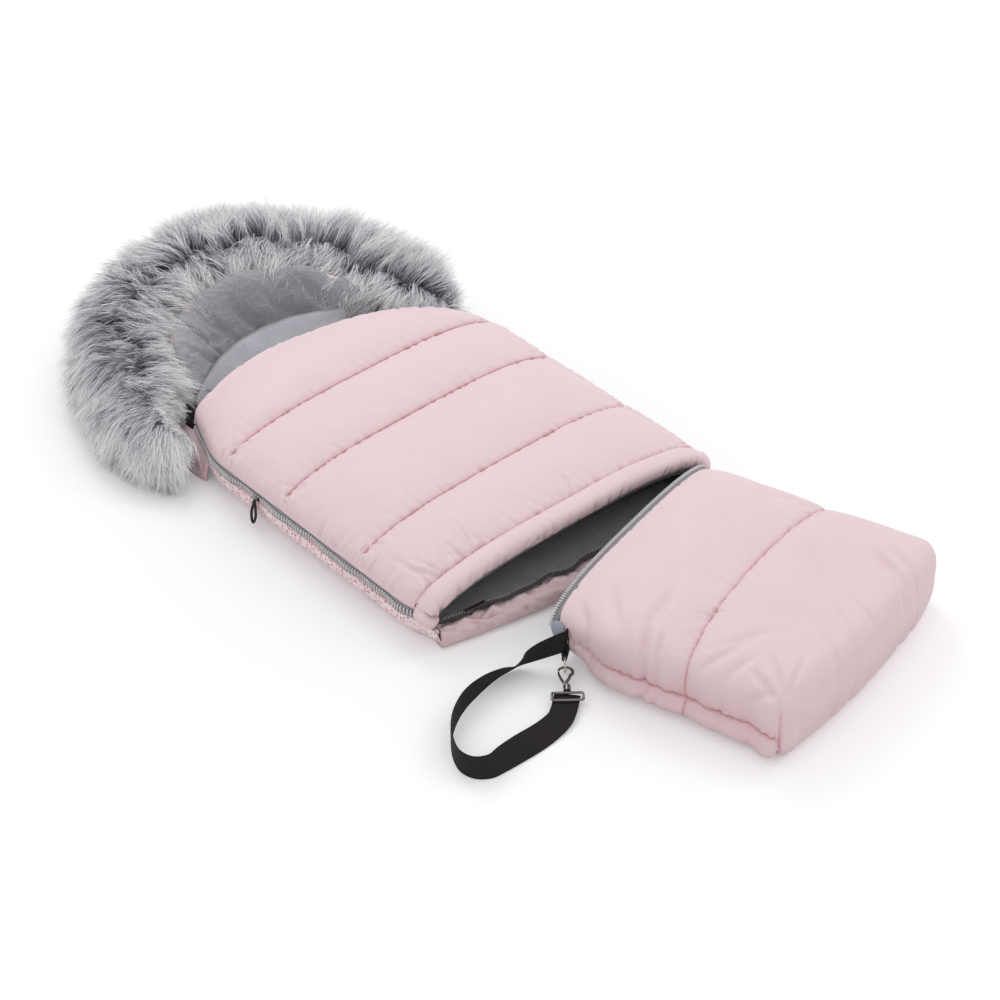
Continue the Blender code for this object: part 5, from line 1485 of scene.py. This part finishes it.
shell_top, _, _, shell_out = hood_sheet(90, 70, HOOD_SHELL - 0.001)
shell_low = hood_sheet(90, 70, 0.0)[0]
shell_low[..., 2] += 0.0016 * np.abs(uneven(shell_low, 0.035, 51)) * np.clip(shell_out / 0.5 - 1, 0, 1)
hood_shell = closed_pad("hood_outer_shell", shell_top, shell_low, "pink_shell")
settle(hood_shell, "hood", ["hood_shell"], HOOD_BEND)

plush, _, plush_v, plush_out = hood_sheet(230, 180, HOOD_SHELL + 0.0060)
bearing = np.arctan2(plush[..., 1] - HEAD_Y, -plush[..., 0])
loose = eased(np.clip((plush_out - 0.30) / 0.55, 0, 1) * np.clip(plush_v / 0.12, 0, 1))
loose = loose * (1 - 0.55 * np.clip((plush_out - 0.86) / 0.14, 0, 1))
plush_fold = 0.0062 * np.sin(7.0 * bearing + 1.3 * np.sin(3 * bearing) + 4 * plush_out)
plush_fold += 0.0034 * np.sin(13.0 * bearing + 2.0 - 5 * plush_out)
plush[..., 2] += 0.0075 * loose + plush_fold * loose
PLUSH_FOLDS = (
    (-0.155, 0.330, -0.075, 0.345, 0.0070, 0.0080), (-0.120, 0.385, -0.050, 0.352, 0.0075, 0.0100),
    (-0.075, 0.405, -0.010, 0.368, 0.0070, 0.0105), (-0.020, 0.410, 0.040, 0.355, 0.0075, 0.0110),
    (0.030, 0.405, 0.078, 0.340, 0.0070, 0.0095), (0.075, 0.385, 0.100, 0.320, 0.0065, 0.0080),
    (-0.150, 0.300, -0.120, 0.350, 0.0055, 0.0065), (-0.100, 0.366, -0.020, 0.392, 0.0050, 0.0070),
    (0.000, 0.384, 0.060, 0.378, 0.0050, 0.0070), (-0.060, 0.345, -0.030, 0.315, 0.0050, 0.0040),
)
for x0, y0, x1, y1, wide, deep in PLUSH_FOLDS:
    plush[..., 2] += wrinkle(plush[..., :2], (x0, y0), (x1, y1), wide, deep, sewn=False)
crushed = np.clip(np.abs(uneven(plush, 0.020, 55)) * 3, 0, 1)
fine_folds = 0.0016 * uneven(plush, 0.0090, 52) + 0.0014 * crushed * uneven(plush, 0.0042, 53)
plush[..., 2] += fine_folds * np.clip(8 * plush_v, 0, 1)
plush_back = plush.copy()
plush_back[..., 2] = hood_sheet(230, 180, HOOD_SHELL + 0.0006)[0][..., 2]
plush[..., 2] = np.maximum(plush[..., 2], plush_back[..., 2] + 0.0012)
hood_plush = closed_pad("hood_plush_lining", plush, plush_back, "grey_minky")
settle(hood_plush, "hood", ["hood_lining"], HOOD_BEND)
print("hood faces", len(hood_shell.data.polygons) + len(hood_plush.data.polygons))

# %% Rounded top of the back lining, and the binding
back_u = np.linspace(-1, 1, 110)[None] + np.zeros((90, 1))
back_v = np.linspace(0, 1, 90)[:, None] + np.zeros((1, 110))
back_x = back_u * 0.176
back_y = 0.170 + (0.352 - 2.9 * back_x ** 2 - 0.170) * back_v
back_edge = np.clip((1 - back_v) / 0.05, 0, 1) ** 0.5
back_z = 0.0195 + 0.0040 * back_edge + 0.0300 * np.clip(back_v - 0.55, 0, 1) ** 2 / 0.2
back_top = np.stack([back_x, back_y, back_z], axis=-1)
back_folds = 0.0022 * uneven(back_top, 0.040, 54) + 0.0009 * uneven(back_top, 0.016, 57)
back_top[..., 2] += back_folds * np.clip(4 * back_v, 0, 1)
back_low = back_top.copy()
back_low[..., 2] = np.where(back_v < 0.6, 0.0192, back_top[..., 2] - 0.0040 * back_edge - 0.0004)
# Painted shade: a dark line along the curved seam at the lining's top edge.
back_seam_shade = np.exp(-((1 - back_v) / 0.022) ** 2)
head_fleece = closed_pad("head_fleece", back_top, back_low, "grey_back", back_seam_shade)
settle(head_fleece, "hood", bend=HOOD_BEND)
rim_turn = np.linspace(0.06, 0.94, 200) * math.pi
binding_v = np.sin(rim_turn)
binding_x = -np.cos(rim_turn) * (HOOD_HALF_WIDTH - 0.001) - 0.036 * np.clip(-np.cos(rim_turn), 0, None) ** 1.5
binding_z = HOOD_RISE * (0.55 + 0.45 * np.minimum(1.0, binding_v / 0.35)) + HOOD_SHELL - 0.003
binding_line = np.stack([binding_x, HEAD_Y + HOOD_DEPTH * binding_v, binding_z], axis=-1)
binding_rows = tube(binding_line, rounded(0.010, 0.017, 14, 2.4))
# The whole binding is mixed a quarter of the way to the seam coral: painted shade under the fur.
binding = cloth("hood_binding", capped(binding_rows, binding_rows.mean(axis=1), 0.0), ["pink_shell"], 0.25)
settle(binding, "hood")
print("back lining and binding made")

# %% [markdown]
# ## Tabs, pullers and stitches
# Small sewn parts tell how the muff is put together: a blank folded tab at the hood's near
# corner, the webbing tab that carries the ring, the end of the strap, the pale tab that
# stiffens the foot zip's near end, and the cord loops on the side sliders. Rows of thread
# lie in the cover's seams and beside the zips. The metal pieces stay as the CAD made them,
# and only get their plating.

# %% Folded tabs and the zip's stiff end


def folded_tab(name, line, height, thickness):
    """A flat black strip on edge through a line of points, both ends closed."""
    line = np.asarray(line, float)
    rings = tube(line, rounded(thickness, height, 20, 6.0))
    return cloth(name, capped(rings, line, 0.1), ["black_webbing"])


TAB_SEAT = Vector((-0.1050, -0.3856, 0.0200))
tab_inward = TAB_SEAT - HOOK_BASE
tab_inward.z = 0.0
tab_inward.normalize()
tab_side = Vector((-tab_inward.y, tab_inward.x, 0.0))
TAB_BEND = 0.0024
TAB_RISE = Vector((0, 0, 0.0190))
tab_line = [HOOK_BASE + tab_inward * 0.0125 + tab_side * 0.0010 + TAB_RISE,
            HOOK_BASE + tab_inward * 0.0070 + tab_side * 0.0012 + TAB_RISE * 0.50]
for n in range(13):
    angle = math.radians(50 + 260 * n / 12)
    tab_line.append(HOOK_BASE + tab_inward * TAB_BEND * math.cos(angle)
                    + tab_side * TAB_BEND * math.sin(angle))
tab_line += [HOOK_BASE + tab_inward * 0.0070 - tab_side * 0.0012 + TAB_RISE * 0.50,
             HOOK_BASE + tab_inward * 0.0125 - tab_side * 0.0010 + TAB_RISE]
raised_line = [tuple(p + Vector((0, 0, 0.0046))) for p in tab_line]
ring_strap = folded_tab("ring_strap_tab", raised_line, 0.0108, 0.0013)
settle(ring_strap, "foot_bag", ["ring_tab"])

stub_line = [(-0.1256, -0.39265, 0.0350), (-0.1238, -0.39210, 0.0352), (-0.1212, -0.39120, 0.0354),
             (-0.1186, -0.39020, 0.0356)]
strap_stub = folded_tab("strap_sewn_end", stub_line, STRAP_WIDTH, STRAP_THICKNESS)
settle(strap_stub, "foot_bag", ["strap_anchor"])

label_u = np.linspace(0, 1, 40)
label_x = -0.1945 - 0.0085 * np.sin(math.pi * 0.5 * label_u) ** 1.5 - 0.0016 * np.sin(math.pi * label_u)
label_fold = np.stack([label_x, 0.2450 - 0.0080 * label_u, 0.0570 - 0.0250 * label_u], axis=-1)
label_rows = []
for place, run in zip(label_fold, label_u):
    across_tab = rounded(0.0200, 0.0026 + 0.0012 * math.sin(math.pi * run), 20, 5.0)
    thick_way, wide_way = across_tab[:, 1], across_tab[:, 0]
    label_rows.append(place + np.stack([thick_way, wide_way, 0.35 * thick_way], axis=-1))
corner_label = cloth("corner_black_tab", capped(np.array(label_rows), label_fold, 0.1), ["black_webbing"])
settle(corner_label, "muff_base", ["corner_label_tab"])

END_TAB_MIDDLE = np.array([-0.1205, -0.37950, 0.0385])
end_ahead = np.array([math.cos(BAG_SWING), math.sin(BAG_SWING), 0.0])
end_down = np.array([math.sin(BAG_SWING) * 0.45, -math.cos(BAG_SWING) * 0.45, -0.89])
end_side = np.cross(end_down, end_ahead)
end_rows = []
for run in np.linspace(-1, 1, 40):
    half_wide = 0.0095 * (1 - abs(run) ** 3.2) ** 0.45 + 0.0002
    middle_line = END_TAB_MIDDLE + end_down * 0.0160 * run - end_ahead * (0.0010 + 0.0030 * (run + 1) * 0.5)
    outline = rounded(2 * half_wide, 0.0018, 20, 4.0)
    end_rows.append(middle_line + outline[:, :1] * end_side + outline[:, 1:] * end_ahead)
stiff_end = cloth("zip_stiff_end", np.array(end_rows), ["pale_tab"])
settle(stiff_end, "foot_bag", ["zip_end_tab"])
print("tabs made")

# %% Cord loops on the side sliders
LOOP_CORD = 0.0034
LOOP_LONG = 0.034
LOOP_WIDE = 0.0125


def cord_loop(name, side, node, body):
    """A closed loop of round cord hanging from the slider, narrow at the top."""
    low, high = (np.array(corner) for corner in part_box(node))
    top = np.array([(low[0] + high[0]) / 2 - side * (high[0] - low[0]) * 0.22, (low[1] + high[1]) / 2,
                    high[2] - LOOP_CORD / 2])
    turn = np.linspace(0, 2 * math.pi, 64, endpoint=False)
    down = (1 - np.cos(turn)) * (LOOP_LONG - LOOP_CORD) / 2
    open_out = 0.30 + 0.70 * np.minimum(1, down / (LOOP_LONG * 0.55))
    wide = np.sin(turn) * (LOOP_WIDE - LOOP_CORD) / 2 * open_out
    line = top + np.stack([side * (0.0006 + 0.14 * down), wide, -down], axis=-1)
    ahead = unit(np.roll(line, -1, axis=0) - np.roll(line, 1, axis=0))
    flat_way = unit(np.cross(ahead, np.array([side, 0.0, 0.14])))
    rise_way = np.cross(flat_way, ahead)
    around = rounded(LOOP_CORD, LOOP_CORD, 14)
    rows = line[:, None] + flat_way[:, None] * around[None, :, :1] + rise_way[:, None] * around[None, :, 1:]
    loop = cloth(name, np.concatenate([rows, rows[:1]]), ["black_cord"])
    return settle(loop, body, [node])


for side, label in ((-1, "near"), (1, "far")):
    cord_loop(label + "_cord_loop", side, label + "_zip_puller", label + "_puller")
print("cord loops hung")

# %% Rows of thread
WALL_STITCH_PITCH = 0.0034
COVER_STITCH_PITCH = 0.0036
BAG_STITCH_PITCH = 0.0040


def thread_row(name, line, pitch, finish_name):
    """Stitches every pitch along a line, lying on the cloth."""
    places, ahead = paced(line, pitch)
    return repeated(name, places, ahead, UPWARDS, stitch_shape, finish_name)


in_seam = np.abs(cover_u) < SEAM_STOP - 0.004
for number in (1, 2, 3):
    seam_line = cover_points[sum(COVER_ROWS[:number])][in_seam] + np.array([0, 0, 0.0003])
    cover_stitches = thread_row(f"cover_stitches_{number}", seam_line, COVER_STITCH_PITCH, "thread")
    settle(cover_stitches, "cover", bend=COVER_BEND)
for side, label in ((-1, "near"), (1, "far")):
    wall_edge = zip_line(side, ZIP_FOOT, ZIP_HEAD, 400, -0.0064, 0.0016)
    wall_stitches = thread_row(label + "_wall_stitches", wall_edge, WALL_STITCH_PITCH, "tooth_grey")
    settle(wall_stitches, "muff_base")
bag_side_line = []
for ring_row in bag_shaped[4:140:2]:
    near_face = ring_row[ring_row[:, 0] < -0.330]
    on_seam = near_face[np.argmin(np.abs(near_face[:, 2] - SIDE_SEAM))]
    bag_side_line.append(on_seam + np.array([-0.0002, 0, 0.0030]))
bag_stitches = thread_row("bag_side_stitches", swung(np.array(bag_side_line)), BAG_STITCH_PITCH, "thread")
settle(bag_stitches, "foot_bag")
print("threads laid")

# %% Plate the metal and the moulded pieces
KEPT_FINISHES = {
    "gunmetal": ("strap_loop", "hook_body", "hook_gate", "near_zip_slider", "far_zip_slider",
                 "near_zip_top_stop", "far_zip_top_stop", "mouth_zip_slider", "mouth_zip_pull"),
    "light_nickel": ("strap_ring",),
    "pale_tab": ("corner_zip_box",),
}
for finish_name, nodes in KEPT_FINISHES.items():
    for node in nodes:
        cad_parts[node].data.materials[0] = FINISHES[finish_name]
print("kept pieces plated:", sum(len(nodes) for nodes in KEPT_FINISHES.values()))

# %% [markdown]
# ## Neck gusset
# Between the side wall and the hood a soft pink gusset closes the corner. The fur lies over
# most of it, and a little shows below the fur's near end.

# %% Fill the corners under the fur


def neck_gusset(name, side, reach_out, start, stop):
    """A soft quarter-round from the wall's top down to the floor, wider towards the hood."""
    y = np.linspace(start, stop, 60)[:, None]
    run = (y - start) / (stop - start)
    down = np.linspace(0, 1, 24)[None]
    inner_x = zip_half_width(y) - 0.012
    wide = 0.006 + (reach_out - 0.006) * np.clip(run * 2.2, 0, 1) ** 0.8
    x = inner_x + (wide + 0.012) * np.sin(math.pi / 2 * down)
    z = (0.034 + 0.014 * run) * np.cos(math.pi / 2 * down) ** 0.8
    outer = np.stack([x, y + 0 * x, z], axis=-1)
    outer[..., 2] += 0.0016 * uneven(outer, 0.022, 71) * np.sin(math.pi * down)
    under = outer.copy()
    under[..., 0] = inner_x + (x - inner_x) * 0.86
    under[..., 2] *= 0.80
    for sheet in (outer, under):
        sheet[..., 0] *= side
        sheet[..., 2] = np.maximum(sheet[..., 2], 0.0)
    # The gusset is mixed a little towards the seam coral all over: painted shade under the fur.
    gusset = closed_pad(name, outer, under, "pink_shell", np.full(outer.shape[:2], 0.12))
    return settle(gusset, "hood", bend=FUR_BEND)


neck_gusset("near_neck_gusset", -1, 0.034, 0.168, 0.330)
neck_gusset("far_neck_gusset", 1, 0.018, 0.215, 0.320)
print("gussets sewn")

# %% [markdown]
# ## Fur trim
# The trim is a strip of long-pile faux fur sewn round the hood's edge, its hair about 50 mm long,
# longer at the crown.
# The hair parts along the crown: outside the parting it falls outwards to the floor, inside it
# falls over the hood's edge onto the lining. It stands in locks that lean with the last stroke
# of the hand, dark at the root and nearly white at the tip, with a brown tinge along the inner
# edge. Each lock is drawn as a lead line; its hairs start beside that line and close in on it.

# %% The skin of the strip
FUR_ROUTE = (
    (-0.246, 0.205, 0.017), (-0.252, 0.222, 0.024), (-0.253, 0.248, 0.031), (-0.242, 0.290, 0.039),
    (-0.221, 0.345, 0.045), (-0.186, 0.407, 0.049), (-0.126, 0.467, 0.052), (-0.050, 0.500, 0.053),
    (0.020, 0.502, 0.052), (0.078, 0.484, 0.049), (0.127, 0.446, 0.045), (0.158, 0.395, 0.041),
    (0.172, 0.340, 0.036), (0.186, 0.285, 0.029), (0.196, 0.250, 0.021), (0.200, 0.238, 0.012),
)
SKIN_TALL = 0.044
SKIN_RING = 44
fur_rows = through(FUR_ROUTE, 14)
skin_half = fur_rows[:, 2]
skin_tall = SKIN_TALL * np.sqrt(skin_half / skin_half.max())
skin_line = np.stack([fur_rows[:, 0], fur_rows[:, 1], 0.002 + skin_tall], axis=-1)
skin_round = rounded(2.0, 2.0, SKIN_RING, 2.2)[None] * np.stack([skin_half, skin_tall], axis=-1)[:, None]
skin_points = tube(skin_line, skin_round)
skin_normals = outward_normals(skin_points, skin_line[:, None])
skin_ahead = unit(np.gradient(skin_line, axis=0))
print("fur skin", skin_points.shape)

# %% Comb the lead line of every lock
FUR_LOCKS = 9000
fur_rng = np.random.default_rng(2024)


def on_skin(sheet, row, column):
    """A value of a sheet of the skin at broken row and column numbers."""
    r0 = np.clip(np.floor(row).astype(int), 0, sheet.shape[0] - 2)
    c0 = np.floor(column).astype(int) % sheet.shape[1]
    c1 = (c0 + 1) % sheet.shape[1]
    fr, fc = (row - r0)[:, None], (column - np.floor(column))[:, None]
    return ((sheet[r0, c0] * (1 - fr) + sheet[r0 + 1, c0] * fr) * (1 - fc)
            + (sheet[r0, c1] * (1 - fr) + sheet[r0 + 1, c1] * fr) * fc)


def cloud(points, size, seed):
    return uneven(points[None], size, seed)[0]


lock_row = fur_rng.uniform(0.2, len(skin_points) - 1.2, FUR_LOCKS)
lock_column = fur_rng.uniform(-32, 212, FUR_LOCKS) / 360 * SKIN_RING % SKIN_RING
root = on_skin(skin_points, lock_row, lock_column)
normal = unit(on_skin(skin_normals, lock_row, lock_column))
along_strip = skin_ahead[np.round(lock_row).astype(int)] * np.array([1, 1, 0])
outward = np.stack([-along_strip[:, 1], along_strip[:, 0], np.zeros(FUR_LOCKS)], axis=-1)
lock_share = lock_row / (len(skin_points) - 1)
facing_out = np.einsum("ij,ij->i", normal, outward)
crown = np.clip((lock_share - 0.30) / 0.22, 0, 1) * (1 - 0.6 * np.clip((lock_share - 0.88) / 0.12, 0, 1))
parting = 0.02 + 0.80 * cloud(root, 0.050, 61) + fur_rng.normal(0, 0.20, FUR_LOCKS)
way = np.where(facing_out > parting, 1.0, -1.0)
sideways = 1.15 * cloud(root, 0.052, 62) + 0.75 * cloud(root, 0.019, 63) + fur_rng.normal(0, 0.13, FUR_LOCKS)
sideways += 1.3 * np.exp(-(1 - lock_share) / 0.05) - 1.5 * np.exp(-lock_share / 0.085)
sink = np.where(way > 0, 0.80 - 1.02 * crown, 0.34)
fall = unit(outward * way[:, None] + along_strip * sideways[:, None] + np.array([0, 0, -1.0]) * sink[:, None])
rise = unit(normal * 1.05 + fall * 0.38 + 0.14 * fur_rng.normal(0, 1, (FUR_LOCKS, 3)))
reach = np.where(way > 0, 0.049 + 0.020 * np.clip(normal[:, 2], 0, 1) * crown, 0.050)
reach *= (1 + 0.20 * cloud(root, 0.030, 64)) * fur_rng.uniform(0.72, 1.12, FUR_LOCKS)
reach *= np.where(fur_rng.uniform(0, 1, FUR_LOCKS) > 0.93, 1.20, 1.0)
reach *= 1 - 0.30 * np.clip((lock_share - 0.75) / 0.25, 0, 1) ** 2
reach *= np.where(way > 0, 1 - 0.14 * np.exp(-((lock_share - 0.20) / 0.14) ** 2),
                  1 - 0.80 * np.clip((0.22 - lock_share) / 0.09, 0, 1))
lock_wave = fur_rng.uniform(0, 2 * math.pi, FUR_LOCKS)
tone = np.clip(0.5 + 0.45 * cloud(root, 0.024, 65) + fur_rng.normal(0, 0.15, FUR_LOCKS), 0, 1)
warm = np.clip(-facing_out * 1.6 - 0.55, 0, 1) * np.clip(0.35 + 1.1 * cloud(root, 0.030, 66), 0, 1)
print("locks combed", FUR_LOCKS)

# %% Draw the hairs of each lock
HAIR_POINTS = 5
LOCK_HAIRS = 13
FUR_LIMITS = ((0, -1, 0.336), (1, 1, 0.614), (2, 1, 0.1155))
LIMIT_ROLL = 0.012


def lead_lines(start, first, last, length, droop):
    """Lines that leave along first, bend over towards last and then droop."""
    points = [start]
    for n in range(HAIR_POINTS - 1):
        t = (n + 0.5) / (HAIR_POINTS - 1)
        weight = np.array([0, 0, -t * t]) * droop[:, None]
        heading = unit(first * (1 - t) ** 1.3 + last * (0.25 + 1.15 * t) + weight)
        points.append(points[-1] + heading * (length / (HAIR_POINTS - 1))[:, None])
    return np.stack(points, axis=1)


def keep_clear(lines, row):
    """Hairs stay outside the skin, above the floor and inside the trim's outer limits."""
    centre, half, tall = (values[np.round(row).astype(int)] for values in (skin_line, skin_half, skin_tall))
    at = skin_ahead[np.round(row).astype(int)]
    side = np.stack([at[:, 1], -at[:, 0]], axis=-1)
    away = lines - centre[:, None]
    a = np.einsum("ijk,ik->ij", away[..., :2], side) / half[:, None]
    b = away[..., 2] / tall[:, None]
    clear = 1.03 + 0.10 * np.arange(HAIR_POINTS) / HAIR_POINTS
    inside = np.maximum(1.0, clear / np.maximum(np.hypot(a, b), 0.35))
    inside[:, 0] = 1.0
    shift = np.einsum("ij,ik->ijk", a * half[:, None] * (inside - 1), side)
    lines[..., :2] += shift
    lines[..., 2] += b * tall[:, None] * (inside - 1)
    raised = 0.0008 + 0.0042 * np.exp(np.minimum(lines[..., 2] - 0.005, 0) / 0.012)
    lines[..., 2] = np.where(lines[..., 2] < 0.005, raised, lines[..., 2])
    for axis, sign, limit in FUR_LIMITS:
        over = np.maximum(sign * lines[..., axis] - (limit - LIMIT_ROLL), 0)
        lines[..., axis] -= sign * (over - LIMIT_ROLL * (1 - np.exp(-over / LIMIT_ROLL)))
    return lines


def hairs_of(chosen, rng):
    """Strand points, widths, twists and colour marks for the chosen locks."""
    of = np.repeat(chosen, LOCK_HAIRS)
    count = len(of)
    across = unit(np.cross(rise[of], fall[of]))
    over = np.cross(rise[of], across)
    spread = rng.normal(0, 0.0032, (count, 2))
    stray = rng.normal(0, 0.085, (count, 2)) * np.where(rng.uniform(0, 1, count) > 0.90, 2.2, 1.0)[:, None]
    length = reach[of] * rng.uniform(0.70, 1.08, count)
    lines = lead_lines(root[of] - rise[of] * 0.003, rise[of], fall[of], length, sink[of] * 0.9)
    t = np.linspace(0, 1, HAIR_POINTS)[None, :, None]
    begin = across[:, None] * spread[:, :1, None] + over[:, None] * spread[:, 1:, None]
    splay = across[:, None] * stray[:, :1, None] + over[:, None] * stray[:, 1:, None]
    lines = lines + begin * (1 - 0.70 * t) + splay * length[:, None, None] * t ** 1.4
    own_wave = 0.0016 * np.sin(rng.uniform(0, 6.3, count)[:, None] + 5.0 * t[..., 0])
    lock_sway = 0.0042 * np.sin(lock_wave[of][:, None] + 5.6 * t[..., 0])
    lines += across[:, None] * own_wave[..., None] * t
    lines += across[:, None] * lock_sway[..., None] * t
    lines = keep_clear(lines, lock_row[of])
    thick = np.broadcast_to(np.array([0.85, 1.0, 0.85, 0.60, 0.18])[None], (count, HAIR_POINTS))
    twist = np.repeat(rng.uniform(-1.1, 1.1, count)[:, None], HAIR_POINTS, axis=1)
    hair_tone = np.clip(tone[of] + rng.normal(0, 0.16, count), 0, 1)
    marks = {"thick": thick, "twist": twist, "along": np.broadcast_to(t[..., 0], (count, HAIR_POINTS)),
             "tone": np.repeat(hair_tone[:, None], HAIR_POINTS, axis=1),
             "warm": np.repeat(warm[of][:, None], HAIR_POINTS, axis=1)}
    return lines, marks


print("hairs in each lock", LOCK_HAIRS)

# %% Sweep strands into hairs with Geometry Nodes


def make_hair_group():
    """Each strand becomes a narrow ribbon, tapered by thick and turned by twist."""
    inputs = (("Strands", "Geometry"), ("Width", "Float"), ("Finish", "Material"))
    group, entry, leave = shape_group("strands_to_hair", inputs, "Hair")
    line = group.nodes.new("GeometryNodeMeshToCurve")
    group.links.new(entry.outputs["Strands"], line.inputs[0])
    level = group.nodes.new("GeometryNodeSetCurveNormal")
    level.mode = "Z_UP"
    group.links.new(line.outputs[0], level.inputs[0])
    thick, twist = read_mark(group, "thick"), read_mark(group, "twist")
    turned = group.nodes.new("GeometryNodeSetCurveTilt")
    group.links.new(level.outputs[0], turned.inputs["Curve"])
    group.links.new(twist, turned.inputs["Tilt"])
    flat = group.nodes.new("GeometryNodeCurvePrimitiveLine")
    flat.inputs["Start"].default_value = (-0.5, 0.0, 0.0)
    flat.inputs["End"].default_value = (0.5, 0.0, 0.0)
    swept = group.nodes.new("GeometryNodeCurveToMesh")
    group.links.new(turned.outputs[0], swept.inputs["Curve"])
    group.links.new(flat.outputs[0], swept.inputs["Profile Curve"])
    group.links.new(maths(group, "MULTIPLY", thick, entry.outputs["Width"]), swept.inputs["Scale"])
    return finish_off(group, entry, leave, swept.outputs[0])


HAIR = make_hair_group()
print("hair group ready")

# %% Fur finish


def make_fur_finish():
    """Dark root to pale tip along each hair, lighter or darker by lock, brown at the inner edge."""
    made = bpy.data.materials.new("faux_fur")
    made.use_nodes = True
    tree = made.node_tree
    shader = tree.nodes["Principled BSDF"]
    shader.inputs["Roughness"].default_value = 0.55
    shader.inputs["Specular IOR Level"].default_value = 0.30
    reads = {}
    for mark in ("along", "tone", "warm"):
        read = tree.nodes.new("ShaderNodeAttribute")
        read.attribute_name = mark
        reads[mark] = read.outputs["Fac"]
    lifted = maths(tree, "ADD", reads["along"],
                   maths(tree, "MULTIPLY", maths(tree, "SUBTRACT", reads["tone"], 0.5), 0.55))
    ramp = tree.nodes.new("ShaderNodeValToRGB")
    stops = ((0.0, (0.075, 0.079, 0.090)), (0.20, (0.205, 0.213, 0.238)), (0.42, (0.475, 0.487, 0.522)),
             (0.66, (0.80, 0.805, 0.82)), (1.0, (0.96, 0.96, 0.965)))
    ramp.color_ramp.elements[0].color = (*stops[0][1], 1)
    ramp.color_ramp.elements[1].color = (*stops[-1][1], 1)
    for place, colour in stops[1:-1]:
        ramp.color_ramp.elements.new(place).color = (*colour, 1)
    tree.links.new(lifted, ramp.inputs[0])
    browned = mixed(tree, maths(tree, "MULTIPLY", reads["warm"], 0.75), ramp.outputs[0], (0.24, 0.165, 0.125))
    tree.links.new(browned, shader.inputs["Base Color"])
    return made


FINISHES["faux_fur"] = make_fur_finish()
skin_closed = capped(skin_points, skin_line, 0.15)
skin_closed[..., 2] = np.maximum(skin_closed[..., 2], 0.0006)
fur_skin = cloth("fur_skin", skin_closed, ["faux_fur"], marks={"along": 0.10, "tone": 0.5, "warm": 0.0})
settle(fur_skin, "hood", ["fur_trim", "near_fur_end", "far_fur_end"], bend=FUR_BEND)
print("fur skin laid")

# %% Grow the fur in several cuts
FUR_CUTS = 7
HAIR_WIDTH = 0.00085


def fur_piece(number):
    """Every seventh lock in one cut."""
    lines, marks = hairs_of(np.arange(number, FUR_LOCKS, FUR_CUTS), np.random.default_rng(300 + number))
    index = np.arange(lines.shape[0] * HAIR_POINTS).reshape(-1, HAIR_POINTS)
    edges = np.stack([index[:, :-1], index[:, 1:]], axis=-1).reshape(-1, 2)
    mesh = bpy.data.meshes.new("strands")
    mesh.vertices.add(index.size)
    mesh.vertices.foreach_set("co", lines.astype(np.float32).reshape(-1))
    mesh.edges.add(len(edges))
    mesh.edges.foreach_set("vertices", edges.astype(np.int32).reshape(-1))
    for mark, values in marks.items():
        mark_points(mesh, mark, values)
    mesh.update()
    piece = made_with(HAIR, mesh, f"fur_locks_{number + 1}", Width=HAIR_WIDTH, Finish=FINISHES["faux_fur"])
    piece.data.shade_smooth()
    return settle(piece, "hood", bend=FUR_BEND)


fur_pieces = [fur_piece(number) for number in range(FUR_CUTS)]
print("fur faces", sum(len(piece.data.polygons) for piece in fur_pieces))
